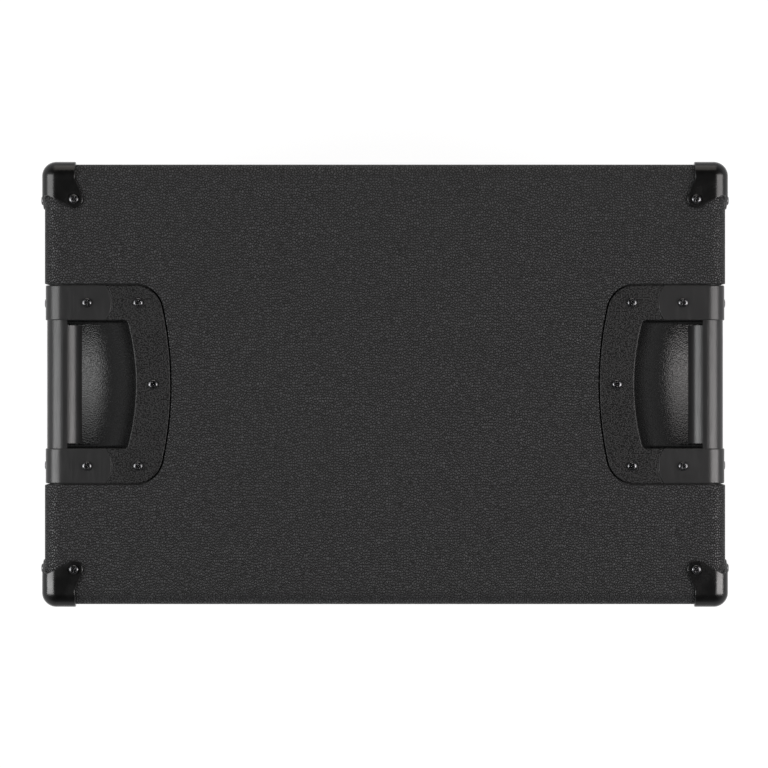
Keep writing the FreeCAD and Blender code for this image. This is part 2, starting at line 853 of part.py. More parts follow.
def window_prism():
    """One opening between two spokes of the frame, centred straight below the axis."""
    half = math.radians(window_half_angle)

    def at(radius, angle):
        return driver_point(frame_back + frame_thickness) + Vector(
            radius * math.sin(angle), 0, -radius * math.cos(angle)
        )

    outline = [
        arc(at(window_inner_radius, -half), at(window_inner_radius, 0), at(window_inner_radius, half)),
        line(at(window_inner_radius, half), at(window_outer_radius, half)),
        arc(at(window_outer_radius, half), at(window_outer_radius, 0), at(window_outer_radius, -half)),
        line(at(window_outer_radius, -half), at(window_inner_radius, -half)),
    ]
    depth = motor_depth
    prism = Part.Face(Part.Wire(outline)).extrude(Y_AXIS * depth)
    along = [e for e in prism.Edges if e.BoundBox.YLength > depth / 2]
    return prism.makeFillet(window_corner_radius, along)


def make_driver_frame():
    """A pressed frame: mounting rim, windowed cone wall, spider landing and motor seat."""
    wall_top = surround_outer_radius
    neck_outer = landing_outer_radius - frame_thickness
    profile = [
        (surround_roll_outer_radius, frame_front),
        (frame_radius, frame_front),
        (frame_radius, frame_back),
        (wall_top, frame_back),
        (landing_outer_radius + frame_thickness, landing_depth + frame_thickness),
        (neck_outer, landing_depth + frame_thickness),
        (neck_outer, motor_depth),
        (gap_radius + frame_thickness, motor_depth),
        (gap_radius + frame_thickness, motor_depth - frame_thickness),
        (neck_outer - frame_thickness, motor_depth - frame_thickness),
        (neck_outer - frame_thickness, landing_depth + frame_thickness),
        (landing_inner_radius, landing_depth + frame_thickness),
        (landing_inner_radius, landing_depth),
        (landing_outer_radius, landing_depth),
    ]
    frame = spin(polygon([driver_point(d, r) for r, d in profile]))
    windows = [round_driver(window_prism(), 360 * i / bolt_count) for i in range(bolt_count)]
    parts["driver_frame"] = frame.cut(windows + bolt_holes())


def make_motor():
    plate_back = motor_depth + top_plate_thickness
    magnet_back = plate_back + magnet_thickness
    parts["motor_top_plate"] = ring(gap_radius, top_plate_radius, motor_depth, plate_back)
    parts["motor_magnet"] = ring(magnet_hole_radius, magnet_radius, plate_back, magnet_back)
    pole_front = driver_point(motor_depth)
    yoke = tube(driver_point(magnet_back), Y_AXIS, yoke_radius, yoke_thickness)
    parts["motor_yoke"] = yoke.fuse(tube(pole_front, Y_AXIS, pole_radius, magnet_back - motor_depth))


def corrugated(inner_land, inner_roll, outer_roll, outer_land, rolls, depth, thickness):
    """A thin ring with flat lands and half-round rolls that turn forward and back in order."""
    half = thickness / 2
    pitch = (outer_roll - inner_roll) / rolls
    wide = pitch / 2 + half
    tight = pitch / 2 - half
    foot = math.sqrt(wide ** 2 - half ** 2)

    def at(radius, along):
        return driver_point(along, radius)

    front_edges = []
    back_edges = []
    front_at = at(outer_land, depth - half)
    back_at = at(outer_land, depth + half)
    closing = line(back_at, front_at)
    for i in range(rolls):
        centre = outer_roll - pitch * (i + 1 / 2)
        forward = -1 if i % 2 == 0 else 1
        front_radius = wide if forward < 0 else tight
        back_radius = tight if forward < 0 else wide
        first = i == 0
        last = i == rolls - 1
        faces = ((front_edges, front_radius, -half), (back_edges, back_radius, half))
        for edges, radius, level in faces:
            swells_past_land = level * forward > 0
            reach = foot if swells_past_land else radius
            land_level = level if swells_past_land else 0
            start = at(centre + (reach if first else radius), depth + (land_level if first else 0))
            end = at(centre - (reach if last else radius), depth + (land_level if last else 0))
            if first:
                land_end = at(centre + reach, depth + level)
                edges.append(line(front_at if level < 0 else back_at, land_end))
                if not swells_past_land:
                    edges.append(line(land_end, start))
            edges.append(arc(start, at(centre, depth + forward * radius), end))
            if last:
                land_start = at(centre - reach, depth + level)
                if not swells_past_land:
                    edges.append(line(end, land_start))
                edges.append(line(land_start, at(inner_land, depth + level)))
    inner_close = line(at(inner_land, depth - half), at(inner_land, depth + half))
    wire = Part.Wire(Part.__sortEdges__(front_edges + back_edges + [closing, inner_close]))
    return spin(Part.Face(wire))


def make_suspension():
    parts["cone_surround"] = corrugated(
        cone_radius - cone_lip, cone_radius + suspension_thickness,
        surround_roll_outer_radius, surround_outer_radius,
        surround_rolls, surround_middle, suspension_thickness,
    )
    parts["spider"] = corrugated(
        former_outer + glue_gap, former_outer + spider_collar,
        landing_inner_radius, landing_outer_radius - frame_thickness,
        spider_rolls, spider_middle, suspension_thickness,
    )


def cone_curve():
    """The front of the paper cone in section: an arc from the lip to the neck."""
    lip = cone_radius - cone_lip
    span = lip - former_outer
    lip_depth = frame_front
    fall = cone_neck_depth - lip_depth
    mid_radius = former_outer + span * cone_mid_radius_share
    mid_depth = lip_depth + fall * cone_mid_depth_share
    neck = Vector(former_outer, cone_neck_depth, 0)
    return Vector(lip, lip_depth, 0), Vector(mid_radius, mid_depth, 0), neck


def cone_depth_at(radius):
    """Depth of the cone's front at a radius, from the circle through its three section points."""
    circle = arc(*cone_curve()).Curve
    rise = math.sqrt(circle.Radius ** 2 - (radius - circle.Center.x) ** 2)
    sign = 1 if circle.Center.y < cone_curve()[1].y else -1
    return circle.Center.y + sign * rise


def make_cone():
    lip, mid, neck = cone_curve()
    step = Vector(0, cone_thickness, 0)

    def at(point):
        return driver_point(point.y, point.x)

    neck_front = neck + Vector(glue_gap, 0, 0)
    outer_front = Vector(cone_radius, lip.y, 0)
    outline = [
        line(at(outer_front), at(lip)),
        arc(at(lip), at(mid), at(neck_front)),
        line(at(neck_front), at(neck_front + step)),
        arc(at(neck_front + step), at(mid + step), at(lip + step)),
        line(at(lip + step), at(outer_front + step)),
        line(at(outer_front + step), at(outer_front)),
    ]
    parts["cone"] = spin(Part.Face(Part.Wire(outline)))
    seat = cone_depth_at(cap_radius)
    crown = seat - cap_height
    sphere_radius = (cap_radius ** 2 + cap_height ** 2) / (2 * cap_height)
    lean = math.asin(cap_radius / sphere_radius) / 2
    reach = Vector(sphere_radius * math.sin(lean), crown + sphere_radius * (1 - math.cos(lean)), 0)
    edge = Vector(cap_radius, seat, 0)
    outline = [
        arc(driver_point(crown), at(reach), at(edge)),
        line(at(edge), at(edge + step * 3)),
        line(at(edge + step * 3), driver_point(seat + 3 * cone_thickness)),
        line(driver_point(seat + 3 * cone_thickness), driver_point(crown)),
    ]
    dome = spin(Part.Face(Part.Wire(outline)))
    hollow = dome.copy()
    hollow.translate(Y_AXIS * cap_thickness)
    core = tube(driver_point(crown), Y_AXIS, cap_radius - cap_thickness, cap_height + cut_overrun)
    inner = hollow.common(core)
    rear_rim = driver_point(cone_neck_depth + cut_overrun, lip.x)
    behind_cone = [
        arc(at(lip), at(mid), at(neck)),
        line(at(neck), driver_point(cone_neck_depth)),
        line(driver_point(cone_neck_depth), driver_point(cone_neck_depth + cut_overrun)),
        line(driver_point(cone_neck_depth + cut_overrun), rear_rim),
        line(rear_rim, at(lip)),
    ]
    parts["dust_cap"] = dome.cut(inner).cut(spin(Part.Face(Part.Wire(behind_cone))))
    former_front = cone_neck_depth - cone_thickness
    former = ring(former_radius, former_outer, former_front, former_rear_depth)
    wind_front = motor_depth + (top_plate_thickness - winding_length) / 2
    winding = ring(former_outer, former_outer + winding_thickness, wind_front, wind_front + winding_length)
    parts["voice_coil_former"] = former
    parts["voice_coil_winding"] = winding


# Leads: round runs joined by tangent arcs

def lead(points, radius):
    """A round wire along points, with each corner rounded as far as its shorter run allows."""
    edges = []
    at = points[0]
    radii = []
    for before, corner, after in zip(points, points[1:], points[2:]):
        arriving = (corner - before).normalize()
        leaving = (after - corner).normalize()
        turn = arriving.getAngle(leaving)
        trim = lead_trim_share * min((corner - before).Length, (after - corner).Length)
        start = corner - arriving * trim
        end = corner + leaving * trim
        bend = trim / math.tan(turn / 2)
        radii.append(bend)
        inward = (leaving - arriving).normalize()
        through = corner + inward * (bend / math.cos(turn / 2) - bend)
        edges.append(line(at, start))
        edges.append(arc(start, through, end))
        at = end
    edges.append(line(at, points[-1]))
    path = Part.Wire(edges)
    section = Part.Wire(Part.makeCircle(radius, points[0], points[1] - points[0]))
    wire = path.makePipeShell([section], True, False)
    filled = wire.Volume / (math.pi * radius ** 2 * path.Length)
    print(f"lead: length {path.Length:.1f}, least bend {min(radii):.1f}, volume share {filled:.4f}")
    return wire


lead_trim_share = 0.45


def terminal_front():
    return landing_depth + frame_thickness


def make_terminals():
    """A fibre block under the frame's neck with two flat lugs that point down."""
    neck = landing_outer_radius - frame_thickness
    low = middle - neck - terminal_height
    y0 = baffle_back + terminal_front() + glue_gap
    block = box(-terminal_width / 2, terminal_width / 2, y0, y0 + terminal_length, low, middle)
    neck_tube = tube(driver_point(0), Y_AXIS, neck, motor_depth + cut_overrun)
    below = box(-right, right, y0, back, base, middle - neck * terminal_seat_share)
    parts["terminal_block"] = block.cut(neck_tube).common(below)
    lugs = []
    for side in SIDES:
        x = side * lug_spread
        y = lug_tip().y
        lugs.append(box(x - lug_width / 2, x + lug_width / 2, y - lug_thickness / 2, y + lug_thickness / 2,
                        low - lug_length, low))
    parts["terminal_lugs"] = Part.makeCompound(lugs)


terminal_seat_share = 0.9


def lug_tip():
    """Where the leads meet the driver: the lower end of the terminal lugs, at x = 0."""
    y = baffle_back + terminal_front() + glue_gap + terminal_length / 2
    return Vector(0, y, middle - landing_outer_radius + frame_thickness - terminal_height - lug_length)


# Jack dish on the rear panel, with the socket in its floor

def rounded_rectangle(width, height, radius, y):
    """A rounded rectangle about the jack, in the plane at y, as a wire."""
    plate = box(-width / 2, width / 2, y, y + cut_overrun, jack_z() - height / 2, jack_z() + height / 2)
    along = [e for e in plate.Edges if e.BoundBox.YLength > cut_overrun / 2]
    plate = plate.makeFillet(radius, along)
    return min(plate.Faces, key=lambda f: f.CenterOfMass.y).OuterWire


def jack_z():
    return base + jack_height


def well(grow, y0, y1):
    """The tapered well of the dish, from its floor at y0 to its mouth at y1."""
    wires = []
    levels = [(y0, dish_floor_width, dish_floor_height), (y1, dish_mouth_width, dish_mouth_height)]
    for y, width, height in levels:
        wires.append(rounded_rectangle(width + 2 * grow, height + 2 * grow, dish_corner_radius, y))
    return Part.makeLoft(wires, True, True)


dish_floor_y = back_outer + dish_flange - dish_depth


def dish_screw_points():
    half_x = (dish_width + dish_mouth_width) / 4
    half_z = (dish_height + dish_mouth_height) / 4
    y = back_outer + dish_flange
    return [Vector(i * half_x, y, jack_z() + k * half_z) for i in SIDES for k in SIDES]


def dish_panel_cuts():
    hole = well(dish_wall + cup_clearance, back_inner - cut_overrun, back_outer + dish_flange)
    pilots = [pilot(p, Y_AXIS, dish_flange) for p in dish_screw_points()]
    return [hole] + pilots


def jack_lug_tip():
    return dish_floor_y - dish_wall - jack_body_length - lug_length


def make_jack():
    mouth_y = back_outer + dish_flange
    flange_wire = rounded_rectangle(dish_width, dish_height, dish_corner_radius, back_outer)
    flange = Part.Face(flange_wire).extrude(Y_AXIS * dish_flange)
    shell = well(dish_wall, dish_floor_y - dish_wall, mouth_y)
    dish = flange.fuse(shell).cut(well(0, dish_floor_y, mouth_y))
    bush_hole = tube(Vector(0, dish_floor_y - cut_overrun, jack_z()), Y_AXIS,
                     jack_bush_radius + screw_clearance, 2 * cut_overrun)
    pilots = [pilot(p, Y_AXIS, dish_flange) for p in dish_screw_points()]
    parts["jack_dish"] = dish.cut([bush_hole] + pilots)
    screws = [wood_screw(p, Y_AXIS, dish_flange) for p in dish_screw_points()]
    parts["jack_dish_screws"] = Part.makeCompound(screws)

    body_back = dish_floor_y - dish_wall
    body_front = body_back - jack_body_length
    body = box(-jack_body_width / 2, jack_body_width / 2, body_front, body_back,
               jack_z() - jack_body_height / 2, jack_z() + jack_body_height / 2)
    bush = tube(Vector(0, body_back, jack_z()), Y_AXIS, jack_bush_radius, jack_bush_length)
    bore = tube(Vector(0, body_front + dish_wall, jack_z()), Y_AXIS, jack_bore_radius,
                jack_body_length + jack_bush_length + cut_overrun)
    parts["jack_socket"] = body.fuse(bush).cut(bore)
    washer = tube(Vector(0, dish_floor_y, jack_z()), Y_AXIS, jack_washer_radius, jack_washer_thickness)
    nut_y = dish_floor_y + jack_washer_thickness
    corners = [Vector(jack_nut_radius * math.cos(math.radians(60 * i)), nut_y,
                      jack_z() + jack_nut_radius * math.sin(math.radians(60 * i))) for i in range(6)]
    nut = polygon(corners).extrude(Y_AXIS * jack_nut_thickness)
    parts["jack_washer"] = washer.cut(bush_hole)
    parts["jack_nut"] = nut.cut(bush_hole)
    lugs = []
    for side in SIDES:
        x = side * jack_lug_spread
        lugs.append(box(x - lug_width / 2, x + lug_width / 2, body_front - lug_length, body_front,
                        jack_z() - lug_thickness / 2, jack_z() + lug_thickness / 2))
    parts["jack_lugs"] = Part.makeCompound(lugs)


jack_lug_spread = jack_body_width / 4


def make_leads():
    """Two insulated leads from the jack to the driver, and two braids from there to the cone."""
    start_y = jack_lug_tip()
    start_z = jack_z()
    end = lug_tip()
    span = start_y - end.y
    rise = end.z - start_z
    for name, side in (("negative", -1), ("positive", 1)):
        x0 = side * jack_lug_spread
        x1 = side * lug_spread
        points = []
        for share, level in zip(lead_span_shares, lead_level_shares):
            points.append(Vector(x0 + (x1 - x0) * share, start_y - span * share, start_z + rise * level))
        parts["speaker_lead_" + name] = lead(points, lead_radius)
    braids = []
    cone_r = (window_inner_radius + landing_inner_radius) / 2
    cone_end = cone_depth_at(cone_r) + cone_thickness + tinsel_radius * tinsel_lift_share
    block_front = terminal_front() + glue_gap
    pass_r = window_inner_radius + tinsel_radius * tinsel_pass_share
    free = block_front - cone_end
    straight = free * tinsel_straight_share
    route = [(pass_r, block_front), (pass_r, block_front - straight)]
    route += [(cone_r, cone_end + straight), (cone_r, cone_end)]
    for side in SIDES:
        points = [Vector(side * lug_spread, baffle_back + depth, middle - radius) for radius, depth in route]
        braids.append(lead(points, tinsel_radius))
    parts["tinsel_leads"] = Part.makeCompound(braids)


lead_span_shares = (0.0, 0.10, 0.284, 0.522, 0.761, 0.92, 0.994, 1.0)
lead_level_shares = (0.0, -0.024, -0.19, -0.524, -0.524, -0.143, 0.43, 1.0)
tinsel_lift_share = 0.7
tinsel_pass_share = 1.8
tinsel_straight_share = 0.33


def main():
    make_carcass()
    make_handles()
    make_corners()
    make_feet()
    make_baffle_and_back()
    make_grille()
    make_tee_nuts_and_bolts()
    make_gasket()
    make_driver_frame()
    make_motor()
    make_suspension()
    make_cone()
    make_terminals()
    make_jack()
    make_leads()
    os.makedirs("parts", exist_ok=True)
    for name, shape in sorted(parts.items()):
        shape.exportStep(f"parts/{name}.step")
        print(f"{name}: {len(shape.Solids)} solids, {shape.Volume:.0f} mm3, valid {shape.isValid()}")


main()
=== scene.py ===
# %% [markdown]
# # A black guitar speaker cabinet, seen from above
#
# The cabinet is a plywood box wrapped in pebbled vinyl, with a moulded handle over each top side edge,
# eight plastic corners, a cloth grille in front and a jack in the rear panel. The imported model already
# holds these pieces at their true size. This file gives each of them a finish, works out the pieces that
# a plain solid can't show (screw heads with a cross, the stretched cloth, the leads and the bending rings
# inside), and sets the light and the camera of the photograph.

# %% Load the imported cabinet
import bpy
import numpy as np
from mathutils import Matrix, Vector


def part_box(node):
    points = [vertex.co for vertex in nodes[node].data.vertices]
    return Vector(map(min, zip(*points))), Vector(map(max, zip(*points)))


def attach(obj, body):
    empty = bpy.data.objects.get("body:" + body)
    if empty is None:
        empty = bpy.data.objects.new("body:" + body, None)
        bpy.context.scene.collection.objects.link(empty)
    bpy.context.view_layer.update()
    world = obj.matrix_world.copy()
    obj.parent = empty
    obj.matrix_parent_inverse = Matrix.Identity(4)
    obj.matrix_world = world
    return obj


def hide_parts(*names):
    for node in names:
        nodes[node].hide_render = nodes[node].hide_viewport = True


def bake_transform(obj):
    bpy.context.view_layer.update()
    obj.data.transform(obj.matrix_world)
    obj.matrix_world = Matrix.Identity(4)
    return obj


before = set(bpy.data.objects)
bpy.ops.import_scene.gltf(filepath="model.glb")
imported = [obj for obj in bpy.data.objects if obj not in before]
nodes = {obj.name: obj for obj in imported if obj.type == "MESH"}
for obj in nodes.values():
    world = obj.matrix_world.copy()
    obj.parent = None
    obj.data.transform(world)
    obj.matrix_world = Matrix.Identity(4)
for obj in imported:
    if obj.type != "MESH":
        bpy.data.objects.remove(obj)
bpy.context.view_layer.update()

# %% [markdown]
# ## The camera
#
# The photograph looks straight down on the top. A camera object looks along its own -Z with +Y up, so it
# needs no turning: it only hangs above the middle of the top. From three to four metres the top nearly
# hides the screws in the handles' side faces but not those in the corners, as in the photograph. The focal
# length follows from how many pixels a metre of the top takes up.

# %% Hang the camera above the top
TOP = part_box("covering")[1].z
FRAME_PIXELS = 768
PIXELS_PER_METRE = 1161.0
CAMERA_RISE = 3.4
FRAME_MIDDLE = (-0.0009, 0.0003)
SENSOR_WIDTH = 36.0

lens = bpy.data.cameras.new("overhead_camera")
lens.sensor_width = SENSOR_WIDTH
lens.lens = SENSOR_WIDTH * CAMERA_RISE * PIXELS_PER_METRE / FRAME_PIXELS
camera = bpy.data.objects.new("overhead_camera", lens)
camera.location = (*FRAME_MIDDLE, TOP + CAMERA_RISE)
bpy.context.scene.collection.objects.link(camera)
bpy.context.scene.camera = camera
print("focal length:", round(lens.lens, 1), "mm")

# %% [markdown]
# ## Small tools for shader nodes
#
# A finish is a small network of nodes. Written out one line per socket it gets long, so a few helpers do
# the repeated steps: one adds any node and fills or links its inputs, the next are the sums, ranges and
# mixes that every finish needs, and the last starts a group with its named sockets.

# %% Node helpers
def node(tree, kind, inputs=None, **settings):
    """Adds a node, sets its properties, and fills or links its inputs by name or number."""
    made = tree.nodes.new(kind)
    for key, value in settings.items():
        setattr(made, key, value)
    for key, value in (inputs or {}).items():
        if isinstance(value, bpy.types.NodeSocket):
            tree.links.new(value, made.inputs[key])
        else:
            made.inputs[key].default_value = value
    return made


def calc(tree, operation, first, second=0.0):
    """One step of arithmetic."""
    return node(tree, "ShaderNodeMath", {0: first, 1: second}, operation=operation).outputs[0]


def span(tree, value, low, high, to_low=0.0, to_high=1.0):
    """A smooth step: value from low to high becomes to_low to to_high."""
    inputs = {0: value, 1: low, 2: high, 3: to_low, 4: to_high}
    return node(tree, "ShaderNodeMapRange", inputs, interpolation_type="SMOOTHSTEP").outputs[0]


def either(tree, share, no, yes):
    """Mixes two values, no where share is 0 and yes where it is 1."""
    return node(tree, "ShaderNodeMix", {0: share, 2: no, 3: yes}).outputs[0]


def tint(tree, share, low, high):
    """Mixes two colours, low where share is 0 and high where it is 1. Each is three numbers or a socket."""
    low, high = (one if isinstance(one, bpy.types.NodeSocket) else (*one, 1) for one in (low, high))
    return node(tree, "ShaderNodeMix", {0: share, 6: low, 7: high}, data_type="RGBA").outputs[2]


def new_group(name, inputs, outputs):
    """An empty node group with named float or vector inputs and float outputs."""
    tree = bpy.data.node_groups.new(name, "ShaderNodeTree")
    tree.interface.new_socket("Vector", in_out="INPUT", socket_type="NodeSocketVector")
    for title, value in inputs.items():
        socket = tree.interface.new_socket(title, in_out="INPUT", socket_type="NodeSocketFloat")
        socket.default_value = value
    for title in outputs:
        tree.interface.new_socket(title, in_out="OUTPUT", socket_type="NodeSocketFloat")
    return tree, tree.nodes.new("NodeGroupInput").outputs, tree.nodes.new("NodeGroupOutput").inputs


print("helpers: node, calc, span, either, tint, new_group")

# %% [markdown]
# ## Pebbled grain
#
# The vinyl is embossed with small irregular pebbles, about two millimetres wide, with dark creases between
# them. An image would do, but it would repeat. A Voronoi pattern in space would slice its cells at random
# heights, so that large and tiny pebbles mix. A flat Voronoi pattern gives pebbles of one size, as an
# embossing roller does: the distance to the nearest cell wall makes the creases and the domes, and a little
# noise makes the walls wander, so that no two cells are alike.

# %% Group: pebbled grain
WOBBLE_SCALE, FINE_SCALE = 420.0, 2600.0
DOME_WIDTH = 0.30
CREASE_FULL, CREASE_ENDS = 0.05, 0.33
LOWEST_SWELL = 0.7
FINE_SHARE = 0.18
FLAT = {"voronoi_dimensions": "2D"}
grain_tree, given, result = new_group(
    "pebbled_grain", {"Cells": 450.0, "Wander": 0.0014}, ["Height", "Crease", "Cell tone"]
)


def shifted(operation, inputs):
    """One step of arithmetic with vectors in the grain."""
    return node(grain_tree, "ShaderNodeVectorMath", inputs, operation=operation).outputs[0]


wobble = node(
    grain_tree, "ShaderNodeTexNoise", {"Vector": given["Vector"], "Scale": WOBBLE_SCALE, "Detail": 1.0}
).outputs["Color"]
centred = shifted("SUBTRACT", {0: wobble, 1: (0.5, 0.5, 0.5)})
moved = shifted("SCALE", {0: centred, "Scale": given["Wander"]})
wandering = shifted("ADD", {0: given["Vector"], 1: moved})
pattern = {"Vector": wandering, "Scale": given["Cells"], "Randomness": 1.0}
walls = node(
    grain_tree, "ShaderNodeTexVoronoi", pattern, feature="DISTANCE_TO_EDGE", **FLAT
).outputs["Distance"]
cells = node(grain_tree, "ShaderNodeTexVoronoi", pattern, **FLAT)
cell_tone = node(grain_tree, "ShaderNodeSeparateColor", {0: cells.outputs["Color"]}).outputs[0]
dome = span(grain_tree, walls, 0.0, DOME_WIDTH)
swell = calc(grain_tree, "MULTIPLY", dome, span(grain_tree, cell_tone, 0.0, 1.0, LOWEST_SWELL, 1.0))
fine = node(grain_tree, "ShaderNodeTexNoise", {"Vector": given["Vector"], "Scale": FINE_SCALE, "Detail": 1.0})
rough = calc(grain_tree, "MULTIPLY", fine.outputs[0], FINE_SHARE)
grain_tree.links.new(calc(grain_tree, "ADD", swell, rough), result["Height"])
grain_tree.links.new(span(grain_tree, walls, CREASE_FULL, CREASE_ENDS, 1.0, 0.0), result["Crease"])
grain_tree.links.new(cell_tone, result["Cell tone"])
print("group:", grain_tree.name, len(grain_tree.nodes), "nodes")

# %% [markdown]
# ## Moulded texture
#
# The handle plates come from a mould with a fine sparked face: a shallow, even roughness with grains about a
# millimetre wide. Noise without detail gives its height and a mask of its pits, which the plate uses for
# painted shade in the pits and for the cup's roughness.

# %% Group: sparked mould face
PIT_FULL, PIT_ENDS = 0.36, 0.64
spark_tree, given, result = new_group("sparked_face", {"Grains": 1100.0}, ["Height", "Pit"])
spark = node(
    spark_tree, "ShaderNodeTexNoise", {"Vector": given["Vector"], "Scale": given["Grains"], "Detail": 0.0}
).outputs[0]
spark_tree.links.new(spark, result["Height"])
spark_tree.links.new(span(spark_tree, spark, PIT_FULL, PIT_ENDS, 1.0, 0.0), result["Pit"])
print("group:", spark_tree.name, len(spark_tree.nodes), "nodes")

# %% [markdown]
# ## Handled surface
#
# Nothing that people carry is evenly glossy. Broad soft patches and fine streaks change how dull each
# finish is by a few percent. Every plastic, vinyl and metal finish uses this group, each with its own
# patch size.

# %% Group: handled surface
PATCH_RANGE, STREAK_RANGE = (0.3, 0.7), (0.35, 0.75)
STREAK_TURN, STREAK_STRETCH = (0.3, 0.2, 0.6), (1.0, 0.12, 0.5)
STREAK_SCALE = 420.0
handled_tree, given, result = new_group("handled_surface", {"Patches": 18.0}, ["Patch", "Streak"])
patch = node(
    handled_tree, "ShaderNodeTexNoise",
    {"Vector": given["Vector"], "Scale": given["Patches"], "Detail": 3.0, "Roughness": 0.55},
).outputs[0]
drawn = node(
    handled_tree, "ShaderNodeMapping", {0: given["Vector"], 2: STREAK_TURN, 3: STREAK_STRETCH}
).outputs[0]
streak = node(
    handled_tree, "ShaderNodeTexNoise", {"Vector": drawn, "Scale": STREAK_SCALE, "Detail": 2.0}
).outputs[0]
handled_tree.links.new(span(handled_tree, patch, *PATCH_RANGE), result["Patch"])
handled_tree.links.new(span(handled_tree, streak, *STREAK_RANGE), result["Streak"])
print("group:", handled_tree.name, len(handled_tree.nodes), "nodes")

# %% [markdown]
# ## Wood and weave
#
# Two more patterns are shared: the grain of the plywood and softwood inside, stretched rings with pores,
# and the over-and-under of a plain weave, which is the product of two waves that take turns.

# %% Group: wood grain
ALONG_GRAIN = (0.08, 1.0, 1.0)
PORE_SCALE, PORE_RANGE = 900.0, (0.55, 0.7)
wood_tree, given, result = new_group("wood_grain", {"Rings": 60.0}, ["Figure", "Pore"])
along = node(wood_tree, "ShaderNodeMapping", {0: given["Vector"], 3: ALONG_GRAIN}).outputs[0]
rings = node(
    wood_tree, "ShaderNodeTexWave",
    {"Vector": along, "Scale": given["Rings"], "Distortion": 6.0, "Detail": 3.0, "Detail Scale": 1.4},
    bands_direction="Z",
).outputs["Fac"]
pores = node(wood_tree, "ShaderNodeTexNoise", {"Vector": along, "Scale": PORE_SCALE, "Detail": 2.0}).outputs[0]
wood_tree.links.new(rings, result["Figure"])
wood_tree.links.new(span(wood_tree, pores, *PORE_RANGE), result["Pore"])
print("group:", wood_tree.name, len(wood_tree.nodes), "nodes")

# %% Group: plain weave
TURN_OVER = 0.2
weave_tree, given, result = new_group("plain_weave", {"Threads": 900.0}, ["Height", "Over"])
axes = node(weave_tree, "ShaderNodeSeparateXYZ", {0: given["Vector"]}).outputs
threads = [calc(weave_tree, "MULTIPLY", axis, given["Threads"]) for axis in (axes[0], axes[1])]
across, lengthwise = (calc(weave_tree, "SINE", calc(weave_tree, "MULTIPLY", one, np.pi)) for one in threads)
upper = span(weave_tree, calc(weave_tree, "MULTIPLY", across, lengthwise), -TURN_OVER, TURN_OVER)
bump_x = calc(weave_tree, "MULTIPLY", calc(weave_tree, "ABSOLUTE", across), upper)
lower = calc(weave_tree, "SUBTRACT", 1.0, upper)
bump_y = calc(weave_tree, "MULTIPLY", calc(weave_tree, "ABSOLUTE", lengthwise), lower)
weave_tree.links.new(calc(weave_tree, "ADD", bump_x, bump_y), result["Height"])
weave_tree.links.new(upper, result["Over"])
print("group:", weave_tree.name, len(weave_tree.nodes), "nodes")

# %% [markdown]
# ## How a finish is put together
#
# Each finish is one Principled shader. Its plain values sit on its own sockets, and only what changes over
# the surface is linked to it: colour, roughness and the bumped normal. Object coordinates are metres in
# the cabinet's frame, so a pattern has its true size on every piece.

# %% Material helpers
def new_finish(name, **plain):
    """A material with one Principled shader, its plain socket values, and the object coordinates."""
    material = bpy.data.materials.new(name)
    material.use_nodes = True
    tree = material.node_tree
    shader = tree.nodes["Principled BSDF"]
    for title, value in plain.items():
        shader.inputs[title.replace("_", " ")].default_value = value
    return material, tree, shader, node(tree, "ShaderNodeTexCoord").outputs["Object"]


def placed_group(tree, group, vector, **values):
    """Places a group in a material, with its own values."""
    return node(tree, "ShaderNodeGroup", {"Vector": vector, **values}, node_tree=group).outputs


def bump(tree, shader, height, depth):
    """Bends the normal as if height, from 0 to 1, were depth metres high."""
    bent = node(tree, "ShaderNodeBump", {"Strength": 1.0, "Distance": depth, "Height": height})
    tree.links.new(bent.outputs[0], shader.inputs["Normal"])


def vary_roughness(tree, shader, share, low, high):
    """Roughness low where share is 0 and high where it is 1."""
    tree.links.new(span(tree, share, 0.0, 1.0, low, high), shader.inputs["Roughness"])


def paint(material, *names):
    """Gives the material to the model's own nodes."""
    for name in names:
        nodes[name].material_slots[0].material = material
    print(material.name, "on", len(names), "nodes")


print("helpers: new_finish, placed_group, bump, vary_roughness, paint")

# %% [markdown]
# ## Vinyl covering
#
# The covering is one sheet wrapped round the box, so a flat pattern has to bend with it. A UV map could do
# that, but the model's own mesh stays as it is, so the finish works the flat place out from the point: on
# the sides x runs on by how far the sheet has dropped, and front and back use x and z. The pebbles are
# slightly shinier and lighter than the creases between them, which are painted nearly black as painted shade.

# %% Lay the covering flat
HALF_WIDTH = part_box("covering")[1].x
MID_HEIGHT = (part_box("covering")[0].z + TOP) / 2
EDGE_ZONE = 0.0135
FACES_AN_END = 0.7


def laid_flat(tree, place):
    """The sheet's own two coordinates: x and y on top and bottom, x continued by the drop below the top on the
    sides (towards the middle again under the bottom edge), and x and z where the face looks forward or back."""
    x, y, z = node(tree, "ShaderNodeSeparateXYZ", {0: place}).outputs
    faced = node(tree, "ShaderNodeNewGeometry").outputs["True Normal"]
    forward = calc(tree, "ABSOLUTE", node(tree, "ShaderNodeSeparateXYZ", {0: faced}).outputs[1])
    end = calc(tree, "GREATER_THAN", forward, FACES_AN_END)
    outward = calc(tree, "SUBTRACT", calc(tree, "ABSOLUTE", x), HALF_WIDTH)
    side = calc(tree, "GREATER_THAN", outward, -EDGE_ZONE)
    upper = calc(tree, "SIGN", calc(tree, "SUBTRACT", z, MID_HEIGHT))
    drop = calc(tree, "SUBTRACT", TOP + HALF_WIDTH, z)
    run = calc(tree, "ADD", drop, calc(tree, "MULTIPLY", outward, upper))
    wrapped = either(tree, side, x, calc(tree, "MULTIPLY", calc(tree, "SIGN", x), run))
    flat = {0: either(tree, end, wrapped, x), 1: either(tree, end, y, z)}
    return node(tree, "ShaderNodeCombineXYZ", flat).outputs[0]


print("sheet from the middle to the top's edge:", round(HALF_WIDTH, 4), "m")

